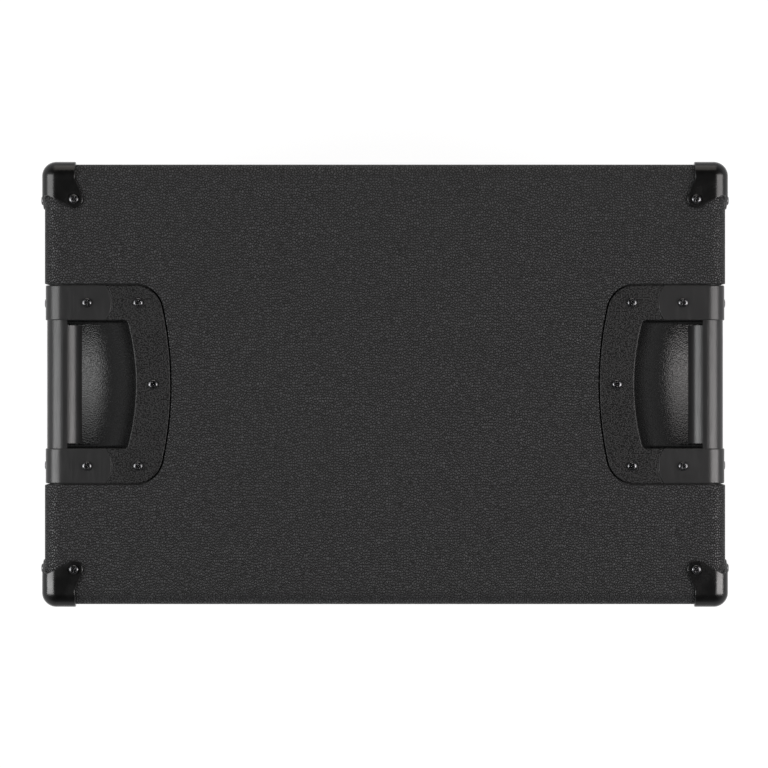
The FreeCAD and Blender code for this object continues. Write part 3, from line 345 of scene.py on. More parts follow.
# %% Finish: grained vinyl
PEBBLE_DARK, PEBBLE_LIGHT = (0.0240, 0.0245, 0.0257), (0.0495, 0.0505, 0.0530)
CREASE_PAINTED_SHADE, CREASE_ROUGHNESS = (0.0004, 0.0004, 0.0004), 0.80
PEBBLE_DEPTH = 0.00050
vinyl, tree, shader, place = new_finish("grained_vinyl", Specular_IOR_Level=0.5)
grain = placed_group(tree, grain_tree, laid_flat(tree, place))
handled = placed_group(tree, handled_tree, place, Patches=9.0)
pebble = tint(tree, grain["Cell tone"], PEBBLE_DARK, PEBBLE_LIGHT)
# Base colour: the pebbles' own tones, with painted shade in the creases.
tree.links.new(tint(tree, grain["Crease"], pebble, CREASE_PAINTED_SHADE), shader.inputs["Base Color"])
worn = span(tree, handled["Patch"], 0.0, 1.0, 0.38, 0.45)
tree.links.new(either(tree, grain["Crease"], worn, CREASE_ROUGHNESS), shader.inputs["Roughness"])
bump(tree, shader, grain["Height"], PEBBLE_DEPTH)
paint(vinyl, "covering", "back_covering")

# %% [markdown]
# ## Handle plastics
#
# The dish, which is the plate and the cup, has the sparked mould face. A mould is textured less where its
# walls are steep, or the piece wouldn't come out, so the cup is smoother than the plate, and its colour is
# painted near black down there as painted shade: how far a point lies below both outer faces tells where the
# cup begins. The bar and the core of the grip are the same plastic from a smoother mould, so they take the
# two side lights as long clean bands.

# %% Finish: sparked plate
SPARK_LIGHT, SPARK_PIT_PAINTED_SHADE, CUP_PAINTED_SHADE = (0.0350, 0.0350, 0.0355), (0.0040, 0.0040, 0.0040), (0.0012, 0.0012, 0.0012)
CUP_STARTS, CUP_FULL = 0.001, 0.010


# The mask where the cup's shade is painted and where its roughness changes.
def in_the_cup(tree, place):
    """0 on the plate's two faces and 1 down in the cup: the smaller of the depths below top and side."""
    x, _, z = node(tree, "ShaderNodeSeparateXYZ", {0: place}).outputs
    below_top = calc(tree, "SUBTRACT", TOP, z)
    below_side = calc(tree, "SUBTRACT", HALF_WIDTH, calc(tree, "ABSOLUTE", x))
    return span(tree, calc(tree, "MINIMUM", below_top, below_side), CUP_STARTS, CUP_FULL)


plate, tree, shader, place = new_finish("sparked_plastic", Specular_IOR_Level=0.28)
face = placed_group(tree, spark_tree, place, Grains=900.0)
handled = placed_group(tree, handled_tree, place, Patches=30.0)
cup = in_the_cup(tree, place)
# Painted shade: the sparked face's pits are painted darker than its peaks.
sparked = tint(tree, face["Pit"], SPARK_LIGHT, SPARK_PIT_PAINTED_SHADE)
# Painted shade: down in the cup the colour goes over to near black.
tree.links.new(tint(tree, cup, sparked, CUP_PAINTED_SHADE), shader.inputs["Base Color"])
plate_dull = span(tree, handled["Patch"], 0.0, 1.0, 0.38, 0.44)
cup_dull = span(tree, face["Pit"], 0.0, 1.0, 0.20, 0.31)
tree.links.new(either(tree, cup, plate_dull, cup_dull), shader.inputs["Roughness"])
bump(tree, shader, face["Height"], 0.00020)
paint(plate, "left_handle_dish", "right_handle_dish")

# %% Finish: satin bar
SATIN_DARK, SATIN_LIGHT = (0.0220, 0.0221, 0.0225), (0.0250, 0.0251, 0.0255)
satin, tree, shader, place = new_finish("satin_plastic", Specular_IOR_Level=0.5)
handled = placed_group(tree, handled_tree, place, Patches=26.0)
face = placed_group(tree, spark_tree, place, Grains=2400.0)
tree.links.new(tint(tree, handled["Patch"], SATIN_DARK, SATIN_LIGHT), shader.inputs["Base Color"])
vary_roughness(tree, shader, handled["Streak"], 0.30, 0.36)
bump(tree, shader, face["Height"], 0.00002)
paint(satin, *[f"{hand}_handle_{piece}" for hand in ("left", "right") for piece in ("bar", "grip_core")])

# %% [markdown]
# ## Corners
#
# The corner protectors are the only glossy black on the cabinet: almost no colour of their own, and a face
# that handling has dulled in patches, which softens the reflections of the lights.

# %% Finish: glossy corners
GLOSS_DARK, GLOSS_LIGHT = (0.0018, 0.0018, 0.0018), (0.0030, 0.0030, 0.0030)
gloss, tree, shader, place = new_finish("gloss_plastic", Specular_IOR_Level=0.65)
handled = placed_group(tree, handled_tree, place, Patches=60.0)
face = placed_group(tree, spark_tree, place, Grains=420.0)
tree.links.new(tint(tree, handled["Patch"], GLOSS_DARK, GLOSS_LIGHT), shader.inputs["Base Color"])
vary_roughness(tree, shader, handled["Patch"], 0.235, 0.285)
bump(tree, shader, face["Height"], 0.000015)
CORNERS = [name for name in nodes if name.startswith("corner_") and name != "corner_screws"]
paint(gloss, *CORNERS)

# %% [markdown]
# ## Metals
#
# The screws are steel with a bright black-nickel plate, which mirrors the side lights as two small glints.
# The driver's fixings are zinc plated, the jack's nut and washer are nickel, and its lugs tinned brass.
# One function makes them all, because they differ only in colour and dullness.

# %% Finishes: metals
def metal(name, low, high, smooth, rough, scratch, *names):
    """A plated metal whose colour and dullness change in patches, with fine scratches."""
    made, tree, shader, place = new_finish(name, Metallic=1.0)
    handled = placed_group(tree, handled_tree, place, Patches=140.0)
    tree.links.new(tint(tree, handled["Patch"], low, high), shader.inputs["Base Color"])
    vary_roughness(tree, shader, handled["Streak"], smooth, rough)
    bump(tree, shader, handled["Streak"], scratch)
    paint(made, *names)
    return made


SCREW_NODES = ("handle_screws", "corner_screws", "back_panel_screws", "jack_dish_screws", "foot_screws")
black_nickel = metal(
    "black_nickel", (0.11, 0.11, 0.114), (0.16, 0.16, 0.166), 0.18, 0.28, 0.000004, *SCREW_NODES
)
metal("zinc_plate", (0.50, 0.50, 0.47), (0.62, 0.61, 0.58), 0.28, 0.40, 0.000006,
      "baffle_screws", "tee_nuts", "driver_bolts", "motor_top_plate", "motor_yoke")
metal("nickel_plate", (0.66, 0.64, 0.60), (0.74, 0.72, 0.68), 0.12, 0.22, 0.000004, "jack_nut", "jack_washer")
metal("tinned_brass", (0.62, 0.57, 0.44), (0.74, 0.70, 0.58), 0.26, 0.38, 0.000006,
      "jack_lugs", "terminal_lugs")
copper_wire = metal(
    "copper_wire", (0.52, 0.24, 0.12), (0.66, 0.32, 0.18), 0.28, 0.40, 0.000006, "voice_coil_winding"
)
metal("thin_aluminium", (0.70, 0.70, 0.69), (0.80, 0.80, 0.78), 0.30, 0.42, 0.000006, "voice_coil_former")
metal("black_enamel", (0.020, 0.020, 0.021), (0.034, 0.034, 0.035), 0.34, 0.48, 0.000010, "driver_frame")
metal("dark_ferrite", (0.050, 0.050, 0.054), (0.085, 0.085, 0.090), 0.50, 0.66, 0.000020, "motor_magnet")

# %% [markdown]
# ## Dull blacks and inner boards
#
# Rubber, the jack's moulding, paper, boards, loop tape and the leads' insulation are all dull. They share
# one function too: a colour that changes in patches and a sparked bump of the right fineness.

# %% Finishes: dull mouldings, paper and boards
DULL_SPREAD = 0.08


def dull(name, low, high, roughness, grains, depth, *names):
    """A dull moulding, paper or board: patches of tone and a fine sparked bump."""
    made, tree, shader, place = new_finish(name, Specular_IOR_Level=0.45)
    handled = placed_group(tree, handled_tree, place, Patches=45.0)
    face = placed_group(tree, spark_tree, place, Grains=grains)
    tree.links.new(tint(tree, handled["Patch"], low, high), shader.inputs["Base Color"])
    vary_roughness(tree, shader, handled["Patch"], roughness, roughness + DULL_SPREAD)
    bump(tree, shader, face["Height"], depth)
    paint(made, *names)
    return made


FEET = [f"foot_{end}_{hand}" for end in ("front", "back") for hand in ("left", "right")]
dull("foot_rubber", (0.016, 0.016, 0.016), (0.026, 0.026, 0.026), 0.62, 700.0, 0.00010, *FEET)
dull("jack_moulding", (0.018, 0.018, 0.0185), (0.024, 0.024, 0.0245), 0.34, 1500.0, 0.00003,
     "jack_dish", "jack_socket")
dull("cone_paper", (0.030, 0.027, 0.024), (0.050, 0.046, 0.041), 0.80, 500.0, 0.00030, "cone", "dust_cap")
dull("gasket_board", (0.16, 0.13, 0.10), (0.22, 0.19, 0.15), 0.85, 600.0, 0.00020, "driver_gasket")
dull("fibre_board", (0.24, 0.13, 0.06), (0.33, 0.19, 0.10), 0.45, 900.0, 0.00006, "terminal_block")
dull("loop_tape", (0.014, 0.014, 0.014), (0.024, 0.024, 0.024), 0.92, 1300.0, 0.00050, "grille_pads")

# %% [markdown]
# ## Woods
#
# The panels are birch plywood, the battens and the grille's frame softwood. Makers blacken the wood round
# the handle cut-outs, so that no pale line shows in the gap beside the plate. Here the stain goes about a
# centimetre deep under the whole top and both sides, where the covering hides the rest of it.

# %% Finishes: woods
STAIN_DEPTH = 0.012
STAIN_BLACK = (0.006, 0.006, 0.006)


def stained(tree, place):
    """1 within the stain's depth of the top and the two side faces, and 0 further in."""
    axes = node(tree, "ShaderNodeSeparateXYZ", {0: place}).outputs
    from_side = calc(tree, "SUBTRACT", calc(tree, "ABSOLUTE", axes[0]), HALF_WIDTH - STAIN_DEPTH)
    from_top = calc(tree, "SUBTRACT", axes[2], TOP - STAIN_DEPTH)
    return calc(tree, "GREATER_THAN", calc(tree, "MAXIMUM", from_side, from_top), 0.0)


def wood(name, light, dark, rings, *names):
    """Planed wood: the rings mix two tones, the pores roughen it, and the outside is stained black."""
    made, tree, shader, place = new_finish(name)
    figure = placed_group(tree, wood_tree, place, Rings=rings)
    bare = tint(tree, figure["Figure"], light, dark)
    tree.links.new(tint(tree, stained(tree, place), bare, STAIN_BLACK), shader.inputs["Base Color"])
    vary_roughness(tree, shader, figure["Pore"], 0.55, 0.75)
    bump(tree, shader, figure["Pore"], -0.00008)
    paint(made, *names)


wood("birch_plywood", (0.60, 0.44, 0.28), (0.46, 0.31, 0.18), 45.0,
     "top_panel", "bottom_panel", "left_panel", "right_panel", "back_panel", "baffle_board")
wood("softwood", (0.68, 0.51, 0.31), (0.52, 0.34, 0.18), 80.0, "front_battens", "rear_battens", "grille_frame")

# %% [markdown]
# ## Woven cloths
#
# The grille cloth and the driver's two rings are plain weave. On the rings the threads lie square to the
# driver's axis, so object coordinates will do. The grille cloth turns round its frame's edges, so there the
# threads follow the cloth's own UV map, in metres.

# %% Finish: woven cloths
def woven(name, warp, weft, threads, depth, uses_uv):
    """Plain weave from metres on the cloth: its own UV map, or object coordinates on a moulded ring."""
    made, tree, shader, place = new_finish(name, Specular_IOR_Level=0.25)
    if uses_uv:
        place = node(tree, "ShaderNodeTexCoord").outputs["UV"]
    else:
        place = node(tree, "ShaderNodeMapping", {0: place, 2: (np.pi / 2, 0, 0)}).outputs[0]
    cloth = placed_group(tree, weave_tree, place, Threads=threads)
    tree.links.new(tint(tree, cloth["Over"], warp, weft), shader.inputs["Base Color"])
    vary_roughness(tree, shader, cloth["Height"], 0.95, 0.75)
    bump(tree, shader, cloth["Height"], depth)
    return made


treated_cloth = woven("treated_cloth", (0.14, 0.10, 0.06), (0.18, 0.13, 0.09), 1400.0, 0.00015, False)
black_weave = woven("grille_weave", (0.010, 0.010, 0.0105), (0.040, 0.040, 0.041), 430.0, 0.00060, True)
print("cloths:", treated_cloth.name, black_weave.name)

# %% [markdown]
# ## Screws
#
# The model's screws are plain domes, but the photograph shows a dark cross in each pan head. The head is
# worked out again as a height over a disc: a square grid pressed into a circle, so that the cross has
# points along its straight walls, which a grid of rings and spokes would miss. The shank under it carries
# a thread. Where each screw stands, and how long it is, is read from the model's own solids.

# %% One screw head as a height over a disc
HEAD_RADIUS = 0.00415
HEAD_HEIGHT = 0.0026
RIM_HEIGHT = 0.35 * HEAD_HEIGHT
HEAD_CELLS = 40
WING_REACH, WING_HALF_WIDTH, WING_WALL = 0.00235, 0.00068, 0.00026
WING_SLOPE, CROSS_DEEPEST = 1.6, 0.0017


def square_to_disc(count):
    """An even square grid pressed into the unit disc: the ring at m = max(|a|, |b|) becomes the circle of
    radius m, and a point keeps its share of the ring's side as its share of a quarter turn."""
    a, b = np.meshgrid(np.linspace(-1, 1, count + 1), np.linspace(-1, 1, count + 1), indexing="ij")
    wide = np.abs(a) >= np.abs(b)
    ratio = np.where(wide, b, a) / np.where(np.where(wide, a, b) == 0, 1, np.where(wide, a, b))
    angle = np.where(wide, ratio, 2 - ratio) * np.pi / 4
    radius = np.where(wide, a, b)
    return radius * np.cos(angle), radius * np.sin(angle)


def cross_depth(x, y):
    """Depth of the cross: each wing falls from its end towards the middle at a fixed slope down to a flat
    floor, times a smooth step over its side walls, and the deeper of the two wings counts."""
    def wing(along_wing, across_wing):
        floor = np.clip((WING_REACH - np.abs(along_wing)) * WING_SLOPE, 0, CROSS_DEEPEST)
        wall = np.clip((WING_HALF_WIDTH - np.abs(across_wing)) / WING_WALL, 0, 1)
        return floor * wall * wall * (3 - 2 * wall)
    return np.maximum(wing(x, y), wing(y, x))


def grid_quads(index):
    """Four-sided faces between neighbours in a grid of point numbers."""
    return np.stack([index[:-1, :-1], index[1:, :-1], index[1:, 1:], index[:-1, 1:]], -1)


def screw_head():
    """A pan head, flat in the middle and round at its edge, less the cross: z = rim + rise * sqrt(1 - r^4) -
    depth, with r from 0 to 1. Gives points, four-sided faces, and the underside as one face."""
    x, y = square_to_disc(HEAD_CELLS)
    pan = np.sqrt(np.clip(1 - (x**2 + y**2) ** 2, 0, 1))
    x, y = HEAD_RADIUS * x, HEAD_RADIUS * y
    z = RIM_HEIGHT + (HEAD_HEIGHT - RIM_HEIGHT) * pan - cross_depth(x, y)
    top = np.stack([x, y, z], -1)
    index = np.arange(top.shape[0] * top.shape[1]).reshape(top.shape[:2])
    faces = grid_quads(index).reshape(-1, 4)
    loop = np.concatenate([index[:-1, 0], index[-1, :-1], index[:0:-1, -1], index[0, :0:-1]])
    points = top.reshape(-1, 3)
    foot = points[loop] * (1, 1, 0)
    low = len(points) + np.arange(len(loop))
    wall = np.stack([loop, low, np.roll(low, -1), np.roll(loop, -1)], -1)
    return np.concatenate([points, foot]), np.concatenate([faces, wall]), low[::-1]


head_points, head_faces, head_under = screw_head()
print("one head:", len(head_points), "points,", len(head_faces), "faces")

# %% One threaded shank
SHANK_RADIUS = 0.0019
THREAD_PITCH = 0.0014
THREAD_DEPTH = 0.00045
TIP_LENGTH = 0.003
TIP_SHARE = 0.02
SHANK_COLUMNS = 14
ROWS_PER_PITCH = 5


def screw_shank(length):
    """Radius = core + depth * ridge, where ridge is a triangle wave of (depth below the head / pitch -
    angle / full turn), and both taper to nothing over the tip. Closed by its last ring and its first."""
    rows = int(length / THREAD_PITCH * ROWS_PER_PITCH)
    down = np.linspace(0, length, rows + 1)[:, None]
    angle = np.linspace(0, 2 * np.pi, SHANK_COLUMNS, endpoint=False)[None, :]
    ridge = 1 - np.abs(2 * ((down / THREAD_PITCH - angle / (2 * np.pi)) % 1) - 1)
    taper = np.clip((length - down) / TIP_LENGTH, TIP_SHARE, 1)
    radius = taper * (SHANK_RADIUS - THREAD_DEPTH + THREAD_DEPTH * ridge)
    points = np.stack([radius * np.cos(angle), radius * np.sin(angle), -down + 0 * angle], -1)
    index = np.arange((rows + 1) * SHANK_COLUMNS).reshape(rows + 1, SHANK_COLUMNS)
    beside = np.roll(index, -1, axis=1)
    faces = np.stack([index[:-1], index[1:], beside[1:], beside[:-1]], -1).reshape(-1, 4)
    return points.reshape(-1, 3), faces, [index[0], index[-1][::-1]]


print("thread pitch:", THREAD_PITCH * 1000, "mm")

# %% Find the screws in the model
LONGEST_SCREW = 0.05
SAME_LEVEL = 1e-6
AROUND_HEAD = 1.01


def node_points(name):
    """The points of one of the model's nodes."""
    flat = np.empty(len(nodes[name].data.vertices) * 3)
    nodes[name].data.vertices.foreach_get("co", flat)
    return flat.reshape(-1, 3)


def crowns(name, axis, sign):
    """The tips of the heads that face one way: the points of the node that lie furthest along it."""
    points = node_points(name)
    reach = (points[:, axis] * sign).max()
    tips = points[points[:, axis] * sign > reach - SAME_LEVEL]
    return np.unique(np.round(tips, 5), axis=0)


def screw_length(name, tip, axis, sign):
    """From a head's seat to the screw's point, from the node's points within a head's radius of its axis."""
    points = node_points(name)
    aside = np.delete(points - tip, axis, axis=1)
    near = points[np.hypot(aside[:, 0], aside[:, 1]) < HEAD_RADIUS * AROUND_HEAD]
    down = (tip[axis] - near[:, axis]) * sign
    return down[down < LONGEST_SCREW].max() - HEAD_HEIGHT


print("handle screws on top:", len(crowns("handle_screws", 2, 1)))

# %% [markdown]
# A copy of the one screw goes to each place. All copies of one kind are worked out together: the points
# are turned about the screw's own axis by a seeded random angle, because nobody lines up the crosses,
# then set on their seats.

# %% Set the screws
TURN_SEED = 12
SHARP_ANGLE = np.radians(38)
turns = np.random.default_rng(TURN_SEED)


def new_piece(name, points, faces, finish):
    """A smooth piece at the origin, with its place in its points."""
    mesh = bpy.data.meshes.new(name)
    mesh.from_pydata(points, [], faces)
    mesh.materials.append(finish)
    mesh.update()
    mesh.shade_smooth()
    piece = bpy.data.objects.new(name, mesh)
    bpy.context.scene.collection.objects.link(piece)
    return piece


def set_screws(name, *facings):
    """Points = seat + turn(angle) * screw, for every seat at once, as one piece in place of the node."""
    all_points, all_faces, start = [], [], 0
    for axis, sign in facings:
        tips = crowns(name, axis, sign)
        shank, shank_faces, shank_ends = screw_shank(screw_length(name, tips[0], axis, sign))
        shape = np.concatenate([head_points, shank])
        quads = np.concatenate([head_faces, shank_faces + len(head_points)])
        caps = [head_under] + [end + len(head_points) for end in shank_ends]
        out = np.eye(3)[axis] * sign
        side = np.eye(3)[0 if axis == 1 else 1]
        third = np.cross(out, side)
        angle = turns.uniform(0, np.pi / 2, len(tips))[:, None]
        first = np.cos(angle) * side + np.sin(angle) * third
        second = np.cos(angle) * third - np.sin(angle) * side
        basis = np.stack([first, second, np.broadcast_to(out, first.shape)], 1)
        seats = tips - out * HEAD_HEIGHT
        all_points.append((np.einsum("pk,skc->spc", shape, basis) + seats[:, None, :]).reshape(-1, 3))
        for shift in start + np.arange(len(tips)) * len(shape):
            all_faces += (quads + shift).tolist() + [(cap + shift).tolist() for cap in caps]
        start += len(tips) * len(shape)
    piece = new_piece(name + "_detailed", np.concatenate(all_points), all_faces, black_nickel)
    piece.data.set_sharp_from_angle(angle=SHARP_ANGLE)
    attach(piece, "cabinet")
    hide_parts(name)
    print(piece.name, len(all_faces), "faces")


UP, DOWN, RIGHT, LEFT, BACK = (2, 1), (2, -1), (0, 1), (0, -1), (1, 1)
set_screws("handle_screws", UP, RIGHT, LEFT)
set_screws("corner_screws", UP, DOWN, RIGHT, LEFT)
set_screws("back_panel_screws", BACK)
set_screws("jack_dish_screws", BACK)
set_screws("foot_screws", DOWN)

# %% [markdown]
# ## Grille cloth
#
# The grille is a wooden frame with black cloth drawn tightly over its face and round its edges. The cloth
# is one grid laid out flat in metres, as it was cut, with the four corner squares cut away. Each direction
# is carried along the same profile: flat over the face, a quarter circle over the frame's edge, then
# straight back. The depth of a point is the larger of its two profiles' depths. The flat grid is also its
# UV map, so the weave has its real size and runs round the edges.

# %% Cloth over the frame
cloth_low, cloth_high = (np.array(corner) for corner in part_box("grille_cloth"))
CLOTH_THICKNESS = 0.0008
FRAME_EDGE_RADIUS = 0.0040
CLOTH_ROLL = FRAME_EDGE_RADIUS - CLOTH_THICKNESS / 2
CLOTH_STEP = 0.0125
ROLL_STEPS = 7
BACK_STEPS = 4


def drawn_over(half, depth):
    """Arc lengths across the cloth, with their places and depths: flat to half - roll, a quarter circle of
    radius roll, then straight back to depth."""
    flat_end = half - CLOTH_ROLL
    flat = np.linspace(-flat_end, flat_end, int(2 * flat_end / CLOTH_STEP))
    roll = np.linspace(0, np.pi / 2, ROLL_STEPS)[1:] * CLOTH_ROLL
    back = np.linspace(0, depth - CLOTH_ROLL, BACK_STEPS)[1:]
    tail = np.concatenate([roll, roll[-1] + back])
    arc = np.concatenate([-flat_end - tail[::-1], flat, flat_end + tail])
    past = np.clip(np.abs(arc) - flat_end, 0, None)
    turn = np.clip(past / CLOTH_ROLL, 0, np.pi / 2)
    place = np.sign(arc) * (np.minimum(np.abs(arc), flat_end) + CLOTH_ROLL * np.sin(turn))
    deep = CLOTH_ROLL * (1 - np.cos(turn)) + np.clip(past - CLOTH_ROLL * np.pi / 2, 0, None)
    return arc, place, deep


inset = CLOTH_THICKNESS / 2
centre = (cloth_low + cloth_high) / 2
halves = (cloth_high - cloth_low) / 2 - inset
cloth_depth = cloth_high[1] - cloth_low[1] - inset
arc_x, place_x, deep_x = drawn_over(halves[0], cloth_depth)
arc_z, place_z, deep_z = drawn_over(halves[2], cloth_depth)
grid_x, grid_z = np.meshgrid(place_x, place_z, indexing="ij")
depth = np.maximum(deep_x[:, None], deep_z[None, :])
cloth_points = np.stack([centre[0] + grid_x, cloth_low[1] + inset + depth, centre[2] + grid_z], -1)
index = np.arange(depth.size).reshape(depth.shape)
quads = grid_quads(index)
cut_x = (deep_x[:-1] + deep_x[1:]) / 2 > CLOTH_ROLL
cut_z = (deep_z[:-1] + deep_z[1:]) / 2 > CLOTH_ROLL
quads = quads[~(cut_x[:, None] & cut_z[None, :])]
flat_uv = np.stack(np.meshgrid(arc_x, arc_z, indexing="ij"), -1).reshape(-1, 2)
print("cloth grid:", depth.shape, "faces:", len(quads))

# %% Make the cloth a sheet
def thicken(piece, thickness):
    """Gives a sheet its thickness, half to each side."""
    thick = piece.modifiers.new("cloth thickness", "SOLIDIFY")
    thick.thickness = thickness
    thick.offset = 0.0


used, quads = np.unique(quads, return_inverse=True)
quads = quads.reshape(-1, 4)
cloth = new_piece("grille_sheet", cloth_points.reshape(-1, 3)[used], quads.tolist(), black_weave)
uv_layer = cloth.data.uv_layers.new(name="cloth_metres")
uv_layer.data.foreach_set("uv", flat_uv[used][quads.ravel()].astype(np.float32).ravel())
thicken(cloth, CLOTH_THICKNESS)
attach(cloth, "cabinet")
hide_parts("grille_cloth")

# %% [markdown]
# ## Leads
#
# Two insulated leads hang inside from the jack's lugs to the driver's terminals. A lead is one smooth line
# of a fixed length, so it is a NURBS curve along the same route as its solid, with a round section. Only
# the order set after the points makes it smooth.

# %% Two leads inside
LEAD_DIAMETER = 0.003
LEAD_ROUNDNESS = 5
LEAD_STEPS = 8
LEAD_ROUTE = np.array([
    (5.00, 123.00, 134.00), (5.40, 102.89, 132.99), (6.14, 65.87, 126.02), (7.09, 18.00, 111.99),
    (8.04, -30.08, 111.99), (8.68, -62.06, 127.99), (8.98, -76.94, 152.06), (9.00, -78.15, 176.00),
]) / 1000


def smooth_line(name, route, steps):
    """A NURBS curve with the route's points as its control points, and steps points for each of its spans."""
    curve = bpy.data.curves.new(name, "CURVE")
    curve.dimensions = "3D"
    spline = curve.splines.new("NURBS")
    spline.points.add(len(route) - 1)
    spline.points.foreach_set("co", np.hstack([route, np.ones((len(route), 1))]).ravel())
    spline.order_u = 3
    spline.use_endpoint_u = True
    spline.resolution_u = steps
    return curve


def lead(name, side, low, high):
    """One insulated lead with a round section, in place of its node."""
    finish = dull(name + "_insulation", low, high, 0.42, 1800.0, 0.00002)
    route = LEAD_ROUTE * (side, 1, 1)
    curve = smooth_line(name + "_line", route, LEAD_STEPS)
    curve.bevel_depth = LEAD_DIAMETER / 2
    curve.bevel_resolution = LEAD_ROUNDNESS
    curve.use_fill_caps = True
    curve.materials.append(finish)
    piece = bpy.data.objects.new(name + "_line", curve)
    bpy.context.scene.collection.objects.link(piece)
    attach(piece, "cabinet")
    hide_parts(name)


lead("speaker_lead_positive", 1, (0.36, 0.012, 0.012), (0.44, 0.020, 0.020))
lead("speaker_lead_negative", -1, (0.012, 0.012, 0.012), (0.020, 0.020, 0.020))

# %% [markdown]
# ## The cone's suspension
#
# Behind the grille, a ring of treated cloth holds the cone's lip and a second one, the spider, its neck. Both
# are pressed into round rolls that bend when the cone moves, and so do the two braids that feed its coil. The
# model's own solids are worked out again here as thin rolled sheets. A ring is made of sectors, each rolled
# along its own radius, and two neighbours meet along the same edge, so no gap opens.

# %% Rolled rings of treated cloth
DRIVER_HEIGHT = (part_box("cone_surround")[0].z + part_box("cone_surround")[1].z) / 2
RING_THICKNESS = 0.0008
STEPS_PER_ROLL = 8
ARC_STEP = np.radians(3.75)
LAND_EDGE = 1e-4


def rolled_sector(lands, feet, rolls, middle, angle):
    """A wavy profile turned about the driver's axis: y = middle - rise * sin(pi * rolls * share), where share
    goes from 0 at the outermost roll's foot to 1 at the innermost one's, rise is half a roll's width, and
    the lands beyond are flat."""
    rolled = np.linspace(*feet, rolls * STEPS_PER_ROLL + 1)
    radius = np.concatenate([lands[:1], rolled, lands[1:]])[:, None]
    share = np.clip((feet[0] - radius) / (feet[0] - feet[1]), 0, 1)
    rise = (feet[0] - feet[1]) / rolls / 2
    depth = middle - rise * np.sin(np.pi * rolls * share) + 0 * angle
    points = np.stack([radius * np.cos(angle), depth, DRIVER_HEIGHT + radius * np.sin(angle)], -1)
    index = np.arange(depth.size).reshape(depth.shape)
    return points.reshape(-1, 3), grid_quads(index).reshape(-1, 4).tolist()


def rolled_ring(name, rolls, feet, sectors):
    """Sectors of a ring in place of the node. Flat lands run out to the solid's outer and inner edges, at the
    depth of the middle of its outer edge, and the rolls lie between the two feet."""
    solid = node_points(name)
    from_axis = np.hypot(solid[:, 0], solid[:, 2] - DRIVER_HEIGHT)
    lands = np.array([from_axis.max(), from_axis.min()])
    edge = solid[from_axis > lands[0] - LAND_EDGE, 1]
    middle = (edge.min() + edge.max()) / 2
    half_turn = np.pi / sectors
    fan = np.linspace(-half_turn, half_turn, round(2 * half_turn / ARC_STEP) + 1)[None, :]
    for number in range(sectors):
        turn = 2 * half_turn * number
        points, quads = rolled_sector(lands, feet, rolls, middle, turn + fan)
        piece = new_piece(f"{name}_sector_{number + 1}", points, quads, treated_cloth)
        thicken(piece, RING_THICKNESS)
        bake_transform(piece)
        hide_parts(name)
    print(name, sectors, "sectors of", len(quads), "faces, lands:", np.round(lands, 4).tolist())


rolled_ring("cone_surround", rolls=2, feet=(0.1400, 0.1318), sectors=16)
rolled_ring("spider", rolls=6, feet=(0.0570, 0.0242), sectors=6)

# %% Stranded braids
BRAID_DIAMETER = 0.002
BRAID_ROUTE = np.array([
    (9.0, -86.15, 189.2), (9.0, -95.59, 189.2), (9.0, -105.32, 199.0), (9.0, -114.75, 199.0),
]) / 1000
BRAID_COLUMNS = 24
BRAID_STEPS = 24
BRAID_STRANDS = 6
BRAID_LAY = 0.008
STRAND_DIP = 0.1


def braid(name, side):
    """A round section carried along the route's smooth line: point = line + radius * (cos(angle) * x +
    sin(angle) * up), with up square to the line and to x. The radius dips by a tenth between the strands,
    which turn once about the line in each lay."""
    route = BRAID_ROUTE * (side, 1, 1)
    carrier = bpy.data.objects.new(name + "_route", smooth_line(name + "_route", route, BRAID_STEPS))
    drawn_line = bpy.data.meshes.new_from_object(carrier)
    line = np.empty(len(drawn_line.vertices) * 3)
    drawn_line.vertices.foreach_get("co", line)
    line = line.reshape(-1, 3)
    bpy.data.curves.remove(carrier.data)
    bpy.data.meshes.remove(drawn_line)
    along_line = np.gradient(line, axis=0)
    along_line /= np.linalg.norm(along_line, axis=1, keepdims=True)
    across_line = np.array([1.0, 0.0, 0.0])
    up = np.cross(along_line, across_line)[:, None, :]
    run = np.concatenate([[0], np.cumsum(np.linalg.norm(np.diff(line, axis=0), axis=1))])[:, None]
    angle = np.linspace(0, 2 * np.pi, BRAID_COLUMNS, endpoint=False)[None, :]
    strand = np.abs(np.cos(BRAID_STRANDS / 2 * (angle - 2 * np.pi * run / BRAID_LAY)))
    radius = (BRAID_DIAMETER / 2 * (1 - STRAND_DIP + STRAND_DIP * strand))[..., None]
    spoke = np.cos(angle)[..., None] * across_line + np.sin(angle)[..., None] * up
    points = line[:, None, :] + radius * spoke
    index = np.arange(points.shape[0] * BRAID_COLUMNS).reshape(-1, BRAID_COLUMNS)
    beside = np.roll(index, -1, axis=1)
    faces = np.stack([index[:-1], beside[:-1], beside[1:], index[1:]], -1).reshape(-1, 4).tolist()
    faces += [index[0][::-1].tolist(), index[-1].tolist()]
    piece = new_piece(name, points.reshape(-1, 3), faces, copper_wire)
    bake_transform(piece)
    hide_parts("tinsel_leads")
    print(name, len(faces), "faces, line:", round(float(run[-1, 0]), 4), "m")


braid("tinsel_braid_positive", 1)
braid("tinsel_braid_negative", -1)
